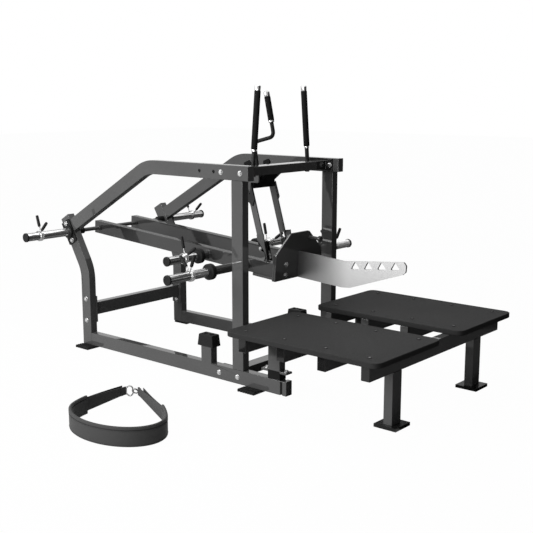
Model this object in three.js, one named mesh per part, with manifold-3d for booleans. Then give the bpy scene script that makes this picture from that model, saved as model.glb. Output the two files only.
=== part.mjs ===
// Belt squat machine: a lever hinged at the back of a tube frame, a platform to stand on in
// front, and a belt that hooks on the lever's arm between the feet.
// Millimetres. +X points to the platform, +Y to the far side, +Z up from the floor.
// Every pair of pieces is mirrored about the machine's middle plane, y = 0.

import * as THREE from 'three';
import { mergeVertices } from 'three/addons/utils/BufferGeometryUtils.js';
import Module from 'manifold-3d';

const wasm = await Module();
wasm.setup();

// Sizes that the whole machine shares
const tube = { width: 50, depth: 80 };
const flangePlate = { length: 170, width: 80, thickness: 10, boltReach: 69.5 };
const frameBolt = { radius: 11, head: 8 };
const smallBolt = { radius: 8, head: 5 };
const barbell = { radius: 25, capRadius: 28, capLength: 12, capChamfer: 2 };
const seat = 0.3;
const running = 0.03;
const overrun = 1;
const weld = 1;
const mergeDistance = 0.001;
const roundSides = 32;
const hornSides = 24;
const smallSides = 12;
const hexSides = 6;
const pullSteps = 26;

// Side frames
const side = { outer: 430 };
side.inner = side.outer - tube.width;
side.middle = side.outer - tube.width / 2;
const base = { bottom: 14, front: 385, plugLength: 28, groove: 14, grooveDepth: 3 };
base.top = base.bottom + tube.depth;
base.middle = base.bottom + tube.depth / 2;
const rearUpright = { x: -1264, bend: 496.5, leanDeg: 30, rise: 379, bendRadius: 230 };
const frontUpright = { rear: 0, beamHeight: 1183, topOverhang: 40 };
const topTube = { joinRise: 300, bendRadius: 230, plugRadius: 9, plugDepth: 2 };
topTube.plugX = -131;
topTube.plugPitch = 107;
const bendSteps = 7;

// Cross members
const rearCross = { height: 241 };
const baseCross = { x: -32 };
const beam = { x: -6 };

// Bumpers and floor pads
const bumper = { postRear: -242, postFront: -163, postRise: 94, length: 120, width: 70, height: 68, draft: 8 };
bumper.postTop = base.top + bumper.postRise;
bumper.dimple = { radius: 9, depth: 3, spacing: 48 };
const pad = { length: 118, width: 110, inset: 6, frontSetback: 231, rearAhead: 20 };
pad.height = base.bottom;
pad.inner = side.inner + pad.inset;
pad.rearX = rearUpright.x + pad.rearAhead;
pad.frontX = base.front - pad.frontSetback;
pad.rib = { width: 6, depth: 3, count: 7 };

// Pivot of the lever, on the leaning part of the rear uprights
const pivot = { rise: 272, shaftRadius: 12.5, endGap: 1, collarRadius: 16, collarLength: 20 };
const housing = { radius: 22, length: 54 };
const storage = { plateWidth: 80, plateLength: 150, plateThickness: 10, boltReach: 58 };
storage.rootRadius = 40;
storage.rootLength = 15;
storage.sleeveOut = 342;
storage.collarOut = 234;
storage.end = side.outer + storage.sleeveOut;
storage.collarY = side.outer + storage.collarOut;

// Lever, measured from its pivot along and square to the rails
const lever = { slopeDeg: 4.06, inner: 134, rear: -54, front: 1503 };
lever.outer = lever.inner + tube.width;
const carriage = { plate: 12, floor: 16, floorLength: 160 };
const mountPlate = { thickness: 12, halfWidth: 205, bottom: -57, shoulder: 95, top: 205, crownHalf: 82 };
mountPlate.cornerRadius = 22;
mountPlate.boltY = 115;
mountPlate.boltW = 31;
const armPlate = { thickness: 12, rootBottom: -55, rootTop: 96, bendU: 314, bendTop: 95, tipU: 710 };
armPlate.tipTop = 160;
armPlate.tipBottom = 91;
armPlate.tipChamfer = 17;
armPlate.bendBottom = -54;
armPlate.sweepU = 369;
armPlate.sweepBottom = -45;
armPlate.bendRadius = 40;
armPlate.tipRadius = 10;
const hookHole = { rearGap: 51, tipGap: 93, drop: 43.7, base: 60, rise: 42, radius: 5, count: 4 };
const stopRod = { y: 90, w: 166, radius: 10, length: 66, headRadius: 18, headLength: 15 };
const keeper = { setback: 108, length: 48, leanDeg: 17.5, cheekBottom: 71, top: 134, plate: 6 };
keeper.front = lever.front - keeper.setback;
keeper.inner = 80;
keeper.outer = 125;
keeper.webInner = 100;
keeper.blockBottom = 2;
keeper.blockTop = 38;
keeper.pinBack = 38;
keeper.pinW = 91;
keeper.pinRadius = 8;
const hornRing = { radius: 45, length: 32, chamfer: 3 };
const rearHorn = { u: 982, ringOut: 75, endOut: 338, collarOut: 196 };
const frontHorn = { u: 1297, ringOut: 309, endOut: 634, collarOut: 460 };
for (const horn of [rearHorn, frontHorn]) {
  horn.ring = lever.outer + horn.ringOut;
  horn.end = lever.outer + horn.endOut;
  horn.collarY = lever.outer + horn.collarOut;
}

// Catch that holds the lever up, hinged behind the top beam
const catchHinge = { setback: 156, drop: 65, radius: 14 };
catchHinge.x = beam.x - catchHinge.setback;
catchHinge.z = frontUpright.beamHeight - catchHinge.drop;
const strut = { play: 10, thickness: 10, width: 42, offsetX: -9 };
strut.inner = keeper.inner + keeper.plate + strut.play;
strut.pinBehind = 1;
strut.pinDrop = 72;
strut.toeLength = 31;
strut.toeWidth = 11;
strut.crown = 24;
// Hanger, measured from the hinge it carries
const hanger = { rear: 28, front: 32, bottom: 26, top: 26, neckHalf: 70, neckLow: 42, neckTop: 69 };
hanger.play = 4;
hanger.half = strut.inner - hanger.play;
hanger.ear = { rear: 47, front: 1, top: 107, thickness: 14, cut: 14 };
hanger.rib = { y: 32, width: 6, depth: 4 };
hanger.boltDrop = 10;

// Gussets, crank and pull, measured from the hinge
const gusset = { thickness: 8, tip: 159, corner: 125, notch: 93, armTop: 30, cornerHalf: 27, armHalf: 24 };
const crank = { rear: 23, front: 77, bottom: 18, top: 72, cornerRadius: 14 };
const pull = { radius: 11, footX: 64, stemX: 40, stemZ: 212, kneeX: 186, kneeZ: 248, topX: 131, topZ: 495 };
pull.bendRadius = 34;
pull.gripStart = 90;
const grip = { radius: 15, length: 134, capLength: 26, capRadius: 15, ringLength: 10, ringRadius: 16 };

// Upright grips on the top beam
const post = { radius: 12, footY: 243, headY: 210, headRise: 437, foamStart: 90, capLength: 28 };
post.capRadius = 15;
post.ringLength = 13;
post.ringRadius = 16;
post.nutRadius = 14;
post.nutHeight = 10;
const foam = { radius: 15.5 };

// Platform
const plank = { rear: 173, front: 1123, inner: 98, outer: 682, top: 391, thickness: 28, cornerRadius: 50 };
const crossTube = { rearInset: 91.7, frontInset: 91.2, sideInset: 37, count: 4 };
crossTube.end = plank.outer - crossTube.sideInset;
const plankScrew = { radius: 9, height: 3, innerInset: 80, outerInset: 70 };
plankScrew.inner = plank.inner + plankScrew.innerInset;
plankScrew.outer = plank.outer - plankScrew.outerInset;
const rearLeg = { setback: 126, flangeRear: 48, flangeFront: 48, flangeRise: 50, flangeThickness: 12 };
rearLeg.rear = base.front - rearLeg.setback;
rearLeg.spacerWidth = 30;
rearLeg.boltInset = 21;
const frontLeg = { footLength: 123, footWidth: 127, footThickness: 10 };

// Spring collars: wound wire with two grips
const collar = { wireRadius: 3.5, pitch: 8, turns: 3, gripStart: 58, gripEnd: 130, gripRadius: 8, bend: 9 };
const loopSteps = 20;
const wireSides = 6;

// Belt, lying on the floor beside the machine
const band = { x: 38, y: -1300, halfLength: 271, halfWidth: 188, height: 90, thickness: 8 };
band.startDeg = 180;
band.endDeg = 411;
band.steps = 26;
band.rimHeight = 7;
band.rimThickness = 13;
const strap = { height: 42, bottom: 30, thickness: 6, leftBack: 300, leftOut: 315 };
strap.rightBack = 238;
strap.rightOut = 354;
strap.leftEndX = band.x - strap.leftBack;
strap.leftEndY = band.y + strap.leftOut;
strap.rightEndX = band.x - strap.rightBack;
strap.rightEndY = band.y + strap.rightOut;
strap.endPlay = 3;
const ringLink = { wire: 3.5, width: 34, height: 60 };
const snapLink = { wire: 3.5, height: 46 };

// Colours and surfaces
const paint = new THREE.MeshStandardMaterial({ color: 0x2c2c2d, roughness: 0.35, metalness: 0.35 });
const black = new THREE.MeshStandardMaterial({ color: 0x121212, roughness: 0.4, metalness: 0.3 });
const rubber = new THREE.MeshStandardMaterial({ color: 0x1b1b1b, roughness: 0.85, metalness: 0 });
const foamRubber = new THREE.MeshStandardMaterial({ color: 0x1d1d1d, roughness: 0.95, metalness: 0 });
const chrome = new THREE.MeshStandardMaterial({ color: 0xe6e6e6, roughness: 0.12, metalness: 1 });
const brushed = new THREE.MeshStandardMaterial({ color: 0xb9b9b9, roughness: 0.35, metalness: 0.9 });
const webbing = new THREE.MeshStandardMaterial({ color: 0x262626, roughness: 0.9, metalness: 0 });

const radians = THREE.MathUtils.degToRad;
const unitX = new THREE.Vector3(1, 0, 0);
const unitY = new THREE.Vector3(0, 1, 0);
const unitZ = new THREE.Vector3(0, 0, 1);

// Solid helpers

// One closed, outward-facing surface with its vertices shared.
function tidied(geometry) {
  const bare = new THREE.BufferGeometry();
  bare.setAttribute('position', geometry.getAttribute('position').clone());
  if (geometry.index) {
    bare.setIndex(geometry.index.clone());
  }
  const merged = mergeVertices(bare, mergeDistance);
  const position = merged.getAttribute('position');
  const corners = merged.index.array;
  const kept = [];
  let volume = 0;
  const a = new THREE.Vector3();
  const b = new THREE.Vector3();
  const c = new THREE.Vector3();
  for (let i = 0; i < corners.length; i += 3) {
    const [p, q, r] = [corners[i], corners[i + 1], corners[i + 2]];
    if (p === q || q === r || r === p) {
      continue;
    }
    kept.push(p, q, r);
    a.fromBufferAttribute(position, p);
    b.fromBufferAttribute(position, q);
    c.fromBufferAttribute(position, r);
    volume += a.dot(b.cross(c));
  }
  if (volume < 0) {
    kept.reverse();
  }
  merged.setIndex(kept);
  return merged;
}

function toManifold(geometry) {
  const shared = tidied(geometry);
  const vertProperties = new Float32Array(shared.getAttribute('position').array);
  const triVerts = new Uint32Array(shared.index.array);
  return new wasm.Manifold(new wasm.Mesh({ numProp: 3, vertProperties, triVerts }));
}

function fromManifold(solid) {
  const { vertProperties, triVerts } = solid.getMesh();
  const geometry = new THREE.BufferGeometry();
  geometry.setAttribute('position', new THREE.BufferAttribute(new Float32Array(vertProperties), 3));
  geometry.setIndex(new THREE.BufferAttribute(new Uint32Array(triVerts), 1));
  return geometry;
}

function join(...pieces) {
  let whole = toManifold(pieces[0]);
  for (const piece of pieces.slice(1)) {
    whole = whole.add(toManifold(piece));
  }
  return fromManifold(whole);
}

function cut(body, ...tools) {
  let whole = toManifold(body);
  for (const tool of tools) {
    whole = whole.subtract(toManifold(tool));
  }
  return fromManifold(whole);
}

// The same piece on the other side of the machine's middle plane.
function mirrored(geometry) {
  const copy = tidied(geometry);
  copy.scale(1, -1, 1);
  return tidied(copy);
}

// Shape helpers

const planes = {
  x: new THREE.Matrix4().makeBasis(unitY, unitZ, unitX),
  y: new THREE.Matrix4().makeBasis(unitX, unitZ, unitY.clone().negate()),
  z: new THREE.Matrix4(),
};

// An outline drawn in the two other axes, pulled straight along one axis.
function pulled(axis, from, to, outline, curveSegments = 5) {
  const shape = outline instanceof THREE.Shape ? outline : new THREE.Shape(outline);
  const depth = to - from;
  const geometry = new THREE.ExtrudeGeometry(shape, { depth, bevelEnabled: false, curveSegments });
  geometry.applyMatrix4(planes[axis]);
  const start = { x: unitX, y: unitY, z: unitZ }[axis].clone();
  start.multiplyScalar(axis === 'y' ? to : from);
  return geometry.translate(start.x, start.y, start.z);
}

function box(xs, ys, zs) {
  const geometry = new THREE.BoxGeometry(xs[1] - xs[0], ys[1] - ys[0], zs[1] - zs[0]);
  return geometry.translate((xs[0] + xs[1]) / 2, (ys[0] + ys[1]) / 2, (zs[0] + zs[1]) / 2);
}

// A box around a middle, for plates and tubes that are placed by their centre.
function centredBox(x, y, z, length, width, height) {
  return new THREE.BoxGeometry(length, width, height).translate(x, y, z);
}

function rod(start, end, radius, sides = roundSides) {
  const line = new THREE.Vector3().subVectors(end, start);
  const geometry = new THREE.CylinderGeometry(radius, radius, line.length(), sides);
  geometry.applyQuaternion(new THREE.Quaternion().setFromUnitVectors(unitY, line.clone().normalize()));
  const middle = new THREE.Vector3().addVectors(start, end).multiplyScalar(0.5);
  return geometry.translate(middle.x, middle.y, middle.z);
}

// A rod across the machine, between two values of y.
function crossRod(x, z, yFrom, yTo, radius, sides = roundSides) {
  return rod(new THREE.Vector3(x, yFrom, z), new THREE.Vector3(x, yTo, z), radius, sides);
}

// The cutter for a round hole whose flats stand clear of a shaft of the same sides.
function crossBore(x, z, yFrom, yTo, shaftRadius, play) {
  const radius = (shaftRadius + play) / Math.cos(Math.PI / roundSides);
  return crossRod(x, z, yFrom - overrun, yTo + overrun, radius);
}

// A turned piece: pairs of radius and distance along the direction, first and last on the axis.
function turned(profile, origin, direction, sides = roundSides) {
  const points = profile.map(([radius, along]) => new THREE.Vector2(radius, along));
  const geometry = new THREE.LatheGeometry(points, sides);
  geometry.applyQuaternion(new THREE.Quaternion().setFromUnitVectors(unitY, direction));
  return geometry.translate(origin.x, origin.y, origin.z);
}

// A closed outline with its corners rounded; a radius may be given for each corner.
function roundedOutline(corners, radii) {
  const shape = new THREE.Shape();
  corners.forEach((corner, i) => {
    const before = corners[(i + corners.length - 1) % corners.length];
    const after = corners[(i + 1) % corners.length];
    const radius = Array.isArray(radii) ? radii[i] : radii;
    const inward = before.clone().sub(corner).normalize();
    const outward = after.clone().sub(corner).normalize();
    const turn = Math.acos(THREE.MathUtils.clamp(inward.dot(outward), -1, 1));
    const reach = radius / Math.tan(turn / 2);
    const enter = corner.clone().addScaledVector(inward, reach);
    const leave = corner.clone().addScaledVector(outward, reach);
    if (i === 0) {
      shape.moveTo(enter.x, enter.y);
    } else {
      shape.lineTo(enter.x, enter.y);
    }
    if (radius > 0) {
      shape.quadraticCurveTo(corner.x, corner.y, leave.x, leave.y);
    }
  });
  shape.closePath();
  return shape;
}

const at = (x, y) => new THREE.Vector2(x, y);

// Outline of a tube of one depth that bends once between two straight legs.
function bentOutline(start, corner, end, bendRadius, depth) {
  const first = corner.clone().sub(start).normalize();
  const second = end.clone().sub(corner).normalize();
  const turn = first.angleTo(second) * Math.sign(first.cross(second));
  const reach = bendRadius * Math.tan(Math.abs(turn) / 2);
  const left = at(-first.y, first.x).multiplyScalar(Math.sign(turn));
  const middle = corner.clone().addScaledVector(first, -reach).addScaledVector(left, bendRadius);
  const arc = (radius) => {
    const points = [];
    for (let i = 0; i <= bendSteps; i += 1) {
      const spoke = left.clone().multiplyScalar(-radius);
      points.push(spoke.rotateAround(at(0, 0), turn * i / bendSteps).add(middle));
    }
    return points;
  };
  const edge = (radius, offset) => {
    const endLeft = left.clone().rotateAround(at(0, 0), turn);
    return [start.clone().addScaledVector(left, offset), ...arc(radius),
      end.clone().addScaledVector(endLeft, offset)];
  };
  const inner = edge(bendRadius - depth / 2, depth / 2);
  const outer = edge(bendRadius + depth / 2, -depth / 2);
  return [...inner, ...outer.reverse()];
}

// A hexagon bolt head that stands on a face square to one axis.
function boltHead(axis, face, towards, u, v, bolt = frameBolt) {
  const from = face - towards * weld;
  const to = face + towards * bolt.head;
  const ends = { x: [[from, u, v], [to, u, v]], y: [[u, from, v], [u, to, v]], z: [[u, v, from], [u, v, to]] };
  const [start, end] = ends[axis].map((p) => new THREE.Vector3(...p));
  return rod(start, end, bolt.radius, hexSides);
}

// Scene helpers

const root = new THREE.Group();
const machine = new THREE.Group();
const leverGroup = new THREE.Group();
const catchGroup = new THREE.Group();
root.add(machine);
machine.add(leverGroup, catchGroup);

function place(name, geometry, material, group = machine) {
  const faceted = tidied(geometry).toNonIndexed();
  faceted.computeVertexNormals();
  const mesh = new THREE.Mesh(faceted, material);
  mesh.name = name;
  group.add(mesh);
}

// Two mirrored pieces, from the one drawn on the far side.
function placePair(name, geometry, material, group = machine) {
  place(`${name}_far`, geometry, material, group);
  place(`${name}_near`, mirrored(geometry), material, group);
}

// Places on the leaning part of a rear upright

const lean = radians(rearUpright.leanDeg);
const leanAlong = at(-Math.sin(lean), Math.cos(lean));
const leanAcross = at(Math.cos(lean), Math.sin(lean));

function onLean(rise, across = 0) {
  const corner = at(rearUpright.x, rearUpright.bend);
  return corner.addScaledVector(leanAlong, rise).addScaledVector(leanAcross, across);
}

const pivotPoint = onLean(pivot.rise);

// Side frames

function baseTube() {
  const rear = rearUpright.x + tube.depth / 2 + seat;
  const grooveFront = base.front - base.plugLength;
  const grooveRear = grooveFront - base.groove;
  const ys = [side.inner, side.outer];
  const inset = base.grooveDepth;
  const bolts = [-1, 1].map((sign) => (
    boltHead('y', side.outer, 1, baseCross.x + sign * flangePlate.boltReach, base.middle)));
  return join(
    box([rear, grooveRear], ys, [base.bottom, base.top]),
    box([grooveRear - weld, grooveFront + weld], [ys[0] + inset, ys[1] - inset],
      [base.bottom + inset, base.top - inset]),
    box([grooveFront, base.front], ys, [base.bottom, base.top]),
    box([bumper.postRear, bumper.postFront], ys, [base.top - weld, bumper.postTop]),
    ...bolts,
  );
}

function rearUprightTube() {
  const start = at(rearUpright.x, base.bottom);
  const corner = at(rearUpright.x, rearUpright.bend);
  const outline = bentOutline(start, corner, onLean(rearUpright.rise), rearUpright.bendRadius, tube.depth);
  const bolts = [-1, 1].map((sign) => (
    boltHead('y', side.outer, 1, rearUpright.x, rearCross.height + sign * flangePlate.boltReach)));
  return join(pulled('y', side.inner, side.outer, outline), ...bolts);
}

const topTubeBottom = frontUpright.beamHeight - tube.depth / 2;
const uprightFront = frontUpright.rear + tube.depth;

function frontUprightTube() {
  return box([frontUpright.rear, uprightFront], [side.inner, side.outer],
    [base.top + seat, topTubeBottom - seat]);
}

function topTubeBent() {
  const front = at(uprightFront + frontUpright.topOverhang, frontUpright.beamHeight);
  const foot = onLean(topTube.joinRise, tube.depth / 2 + seat);
  const climb = (frontUpright.beamHeight - foot.y) / leanAcross.y;
  const corner = foot.clone().addScaledVector(leanAcross, climb);
  const outline = bentOutline(front, corner, foot, topTube.bendRadius, tube.depth);
  const bolts = [-1, 1].map((sign) => (
    boltHead('y', side.outer, 1, beam.x + sign * flangePlate.boltReach, frontUpright.beamHeight)));
  const plugXs = [topTube.plugX, topTube.plugX - topTube.plugPitch];
  const plugs = plugXs.map((x) => (
    crossRod(x, frontUpright.beamHeight, side.outer - topTube.plugDepth, side.outer + overrun,
      topTube.plugRadius, smallSides)));
  return cut(join(pulled('y', side.inner, side.outer, outline), ...bolts), ...plugs);
}

placePair('base_tube', baseTube(), paint);
placePair('rear_upright', rearUprightTube(), paint);
placePair('front_upright', frontUprightTube(), paint);
placePair('top_tube', topTubeBent(), paint);

// Cross members with their end flanges

// Flange and nuts at the far end of a cross member; the long side lies along X or Z.
function endFlange(x, z, upright) {
  const { length, width, thickness, boltReach } = flangePlate;
  const outer = side.inner - seat;
  const inner = outer - thickness;
  const middle = outer - thickness / 2;
  const nuts = [-1, 1].map((sign) => {
    const nutX = upright ? x : x + sign * boltReach;
    const nutZ = upright ? z + sign * boltReach : z;
    return boltHead('y', inner, -1, nutX, nutZ);
  });
  const plate = upright
    ? centredBox(x, middle, z, width, thickness, length)
    : centredBox(x, middle, z, length, thickness, width);
  return join(plate, ...nuts);
}

function crossMember(x, z, length, height, upright, ...extras) {
  const flange = endFlange(x, z, upright);
  const reach = side.inner - seat - flangePlate.thickness + weld;
  const bar = centredBox(x, 0, z, length, 2 * reach, height);
  return join(bar, flange, mirrored(flange), ...extras);
}

place('rear_cross_tube',
  crossMember(rearUpright.x, rearCross.height, tube.width, tube.depth, true), paint);
place('base_cross_tube',
  crossMember(baseCross.x, base.middle, tube.depth, tube.width, false), paint);

const beamTop = frontUpright.beamHeight + tube.width / 2;
const beamBottom = frontUpright.beamHeight - tube.width / 2;
const beamRear = beam.x - tube.depth / 2;
const postNuts = [-1, 1].map((sign) => rod(
  new THREE.Vector3(beam.x, sign * post.footY, beamBottom - post.nutHeight),
  new THREE.Vector3(beam.x, sign * post.footY, beamBottom + weld), post.nutRadius, hexSides));
place('top_beam',
  crossMember(beam.x, frontUpright.beamHeight, tube.depth, tube.width, false, ...postNuts), paint);

// Bumpers and floor pads

function bumperBlock() {
  const x = (bumper.postRear + bumper.postFront) / 2;
  const bottom = bumper.postTop + seat;
  const block = new THREE.BoxGeometry(bumper.length, bumper.width, bumper.height);
  const position = block.getAttribute('position');
  const shareX = 1 - 2 * bumper.draft / bumper.length;
  const shareY = 1 - bumper.draft / bumper.width;
  for (let i = 0; i < position.count; i += 1) {
    if (position.getZ(i) > 0) {
      position.setX(i, position.getX(i) * shareX);
      position.setY(i, position.getY(i) * shareY);
    }
  }
  block.translate(x, side.middle, bottom + bumper.height / 2);
  const top = bottom + bumper.height;
  const dimples = [-1, 1].map((sign) => rod(
    new THREE.Vector3(x + sign * bumper.dimple.spacing / 2, side.middle, top - bumper.dimple.depth),
    new THREE.Vector3(x + sign * bumper.dimple.spacing / 2, side.middle, top + overrun),
    bumper.dimple.radius, smallSides));
  return cut(block, ...dimples);
}

// Side outline with grooves along the outer faces, as on a ribbed machine foot.
function floorPad(x) {
  const { length, width, height, inner, rib } = pad;
  const slab = box([x - length / 2, x + length / 2], [inner, inner + width], [0, height - seat]);
  const pitch = length / rib.count;
  const grooves = [];
  for (let i = 1; i < rib.count; i += 1) {
    const middle = x - length / 2 + i * pitch;
    const xs = [middle - rib.width / 2, middle + rib.width / 2];
    const outer = inner + width;
    grooves.push(box(xs, [outer - rib.depth, outer + overrun], [-overrun, height + overrun]));
  }
  return cut(slab, ...grooves);
}

placePair('bumper_block', bumperBlock(), rubber);
placePair('rear_floor_pad', floorPad(pad.rearX), rubber);
placePair('front_floor_pad', floorPad(pad.frontX), rubber);

// Pivot bearings and the storage horns outside them

function bearingHousing() {
  const outer = side.inner - seat;
  const inner = outer - housing.length;
  const body = crossRod(pivotPoint.x, pivotPoint.y, inner, outer, housing.radius);
  return cut(body, crossBore(pivotPoint.x, pivotPoint.y, inner, outer, pivot.shaftRadius, running));
}

function storagePlate() {
  const halfLength = storage.plateLength / 2;
  const halfWidth = storage.plateWidth / 2;
  const outline = [
    onLean(pivot.rise - halfLength, -halfWidth),
    onLean(pivot.rise - halfLength, halfWidth),
    onLean(pivot.rise + halfLength, halfWidth),
    onLean(pivot.rise + halfLength, -halfWidth),
  ];
  const from = side.outer + seat;
  const to = from + storage.plateThickness;
  const bolts = [-1, 1].map((sign) => {
    const spot = onLean(pivot.rise + sign * storage.boltReach);
    return boltHead('y', to, 1, spot.x, spot.y);
  });
  return join(pulled('y', from, to, outline), ...bolts);
}

// Sleeve for weight plates: what stands on its root, then the sleeve and the end cap.
function sleeveProfile(root, length) {
  const { radius, capRadius, capLength, capChamfer } = barbell;
  return [[0, 0], ...root, [radius, length - capLength], [capRadius, length - capLength],
    [capRadius, length - capChamfer], [capRadius - capChamfer, length], [0, length]];
}

function storageHorn() {
  const start = side.outer + seat + storage.plateThickness + seat;
  const root = [[storage.rootRadius, 0], [storage.rootRadius, storage.rootLength],
    [barbell.radius, storage.rootLength]];
  const origin = new THREE.Vector3(pivotPoint.x, start, pivotPoint.y);
  return turned(sleeveProfile(root, storage.end - start), origin, unitY, hornSides);
}

placePair('bearing_housing', bearingHousing(), black);
placePair('storage_plate', storagePlate(), paint);
placePair('storage_horn', storageHorn(), chrome);

// Lever, drawn level from its pivot and then sloped with its group

leverGroup.position.set(pivotPoint.x, 0, pivotPoint.y);
leverGroup.rotation.y = radians(lever.slopeDeg);

function leverRail() {
  const bar = box([lever.rear, lever.front], [lever.inner, lever.outer], [-tube.depth / 2, tube.depth / 2]);
  return cut(bar, crossBore(0, 0, lever.inner, lever.outer, pivot.shaftRadius, running));
}

function leverShaft() {
  const end = side.inner - pivot.endGap;
  const from = lever.outer + seat;
  const collarRing = crossRod(0, 0, from, from + pivot.collarLength, pivot.collarRadius);
  return join(crossRod(0, 0, -end, end, pivot.shaftRadius), collarRing, mirrored(collarRing));
}

const slope = radians(lever.slopeDeg);

// The place in the machine of a point of the lever, along and square to its rails.
function onLever(u, w) {
  return at(u, w).rotateAround(at(0, 0), -slope).add(pivotPoint);
}

const flangeRear = lever.front + seat;
const mountRear = flangeRear + carriage.plate + seat;
const mountFront = mountRear + mountPlate.thickness;

function carriageSolid() {
  const { halfWidth, bottom, shoulder } = mountPlate;
  const flange = box([flangeRear, flangeRear + carriage.plate], [-halfWidth, halfWidth], [bottom, shoulder]);
  const floorTop = -tube.depth / 2 - seat;
  const floor = box([lever.front - carriage.floorLength, flangeRear + weld],
    [-lever.outer, lever.outer], [floorTop - carriage.floor, floorTop]);
  return join(flange, floor);
}

function mountPlateSolid() {
  const { halfWidth, bottom, shoulder, top, crownHalf, cornerRadius, boltY, boltW } = mountPlate;
  const corners = [at(-halfWidth, bottom), at(halfWidth, bottom), at(halfWidth, shoulder),
    at(crownHalf, top), at(-crownHalf, top), at(-halfWidth, shoulder)];
  const radii = [0, 0, cornerRadius, cornerRadius, cornerRadius, cornerRadius];
  const plate = pulled('x', mountRear, mountFront, roundedOutline(corners, radii));
  const bolts = [];
  for (const y of [-boltY, boltY]) {
    for (const w of [-boltW, boltW]) {
      bolts.push(boltHead('x', mountFront, 1, y, w));
    }
  }
  const { length, radius, headLength, headRadius } = stopRod;
  const stop = turned([[0, -weld], [radius, -weld], [radius, length], [headRadius, length],
    [headRadius, length + headLength], [0, length + headLength]],
  new THREE.Vector3(mountFront, stopRod.y, stopRod.w), unitX, smallSides * 2);
  return join(plate, stop, ...bolts);
}

// A hole like a rounded triangle, standing on the slope of the arm's upper edge.
function hookHoleCutter(index) {
  const arm = armPlate;
  const edge = at(arm.tipU - arm.tipChamfer - arm.bendU, arm.tipTop - arm.bendTop);
  const along = edge.clone().normalize();
  const square = at(-along.y, along.x);
  const row = arm.tipU - arm.bendU - hookHole.rearGap - hookHole.tipGap;
  const pitch = row / (hookHole.count - 1) / along.x;
  const foot = at(mountFront + seat + arm.bendU, arm.bendTop).addScaledVector(edge,
    hookHole.rearGap / edge.x);
  foot.y -= hookHole.drop;
  foot.addScaledVector(along, index * pitch);
  const corners = [foot, foot.clone().addScaledVector(along, hookHole.base),
    foot.clone().addScaledVector(along, hookHole.base / 2).addScaledVector(square, hookHole.rise)];
  const half = armPlate.thickness / 2 + overrun;
  return pulled('y', -half, half, roundedOutline(corners, hookHole.radius), 3);
}

function armPlateSolid() {
  const arm = armPlate;
  const rearEdge = mountFront + seat;
  const tip = rearEdge + arm.tipU;
  const bendU = rearEdge + arm.bendU;
  const corners = [at(rearEdge, arm.rootBottom), at(bendU, arm.bendBottom),
    at(rearEdge + arm.sweepU, arm.sweepBottom), at(tip - arm.tipChamfer, arm.tipBottom),
    at(tip, arm.tipBottom + arm.tipChamfer), at(tip, arm.tipTop - arm.tipChamfer),
    at(tip - arm.tipChamfer, arm.tipTop), at(bendU, arm.bendTop), at(rearEdge, arm.rootTop)];
  const bend = arm.bendRadius;
  const nose = arm.tipRadius;
  const radii = [0, bend, bend, nose, nose, nose, nose, bend, 0];
  const plate = pulled('y', -arm.thickness / 2, arm.thickness / 2, roundedOutline(corners, radii));
  const holes = Array.from({ length: hookHole.count }, (_, i) => hookHoleCutter(i));
  return cut(plate, ...holes);
}

// A place on the keeper, back from its leaning front face at a height square to the rails.
function onKeeper(back, w) {
  const leaning = (w - tube.depth / 2) * Math.tan(radians(keeper.leanDeg));
  return at(keeper.front - back - leaning, w);
}

// A channel that leans back, open to the rear and above, with a cross pin behind the catch.
function keeperBracket() {
  const k = keeper;
  const cheek = (from, to, bottom) => pulled('y', from, to, [onKeeper(k.length, bottom),
    onKeeper(0, bottom), onKeeper(0, k.top), onKeeper(k.length, k.top)]);
  const foot = k.blockTop - weld;
  const inner = cheek(k.inner, k.inner + k.plate, foot);
  const outer = cheek(k.outer - k.plate, k.outer, k.cheekBottom);
  const web = pulled('y', k.webInner, k.outer, [onKeeper(k.plate, foot), onKeeper(0, foot),
    onKeeper(0, k.top), onKeeper(k.plate, k.top)]);
  const us = [k.front - k.length, k.front + weld];
  const block = box(us, [k.inner, lever.inner - seat], [k.blockBottom, k.blockTop]);
  const pinPlace = onKeeper(k.pinBack, k.pinW);
  const pin = crossRod(pinPlace.x, pinPlace.y, k.inner + weld, k.outer - weld, k.pinRadius, smallSides);
  const head = boltHead('y', k.outer, 1, pinPlace.x, pinPlace.y, smallBolt);
  return join(block, inner, outer, web, pin, head);
}

function weightHorn(horn) {
  const start = lever.outer + seat;
  const { radius, length, chamfer } = hornRing;
  const ringStart = horn.ring - length / 2 - start;
  const ringEnd = ringStart + length;
  const root = [[barbell.radius, 0], [barbell.radius, ringStart], [radius - chamfer, ringStart],
    [radius, ringStart + chamfer], [radius, ringEnd - chamfer], [radius - chamfer, ringEnd],
    [barbell.radius, ringEnd]];
  return turned(sleeveProfile(root, horn.end - start), new THREE.Vector3(horn.u, start, 0), unitY, hornSides);
}

placePair('lever_rail', leverRail(), paint, leverGroup);
place('lever_shaft', leverShaft(), brushed, leverGroup);
place('lever_carriage', carriageSolid(), paint, leverGroup);
place('arm_mount_plate', mountPlateSolid(), paint, leverGroup);
place('belt_arm', armPlateSolid(), brushed, leverGroup);
placePair('keeper_bracket', keeperBracket(), black, leverGroup);
placePair('rear_weight_horn', weightHorn(rearHorn), chrome, leverGroup);
placePair('front_weight_horn', weightHorn(frontHorn), chrome, leverGroup);

// Hanger of the catch, fixed to the rear face of the beam

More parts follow.
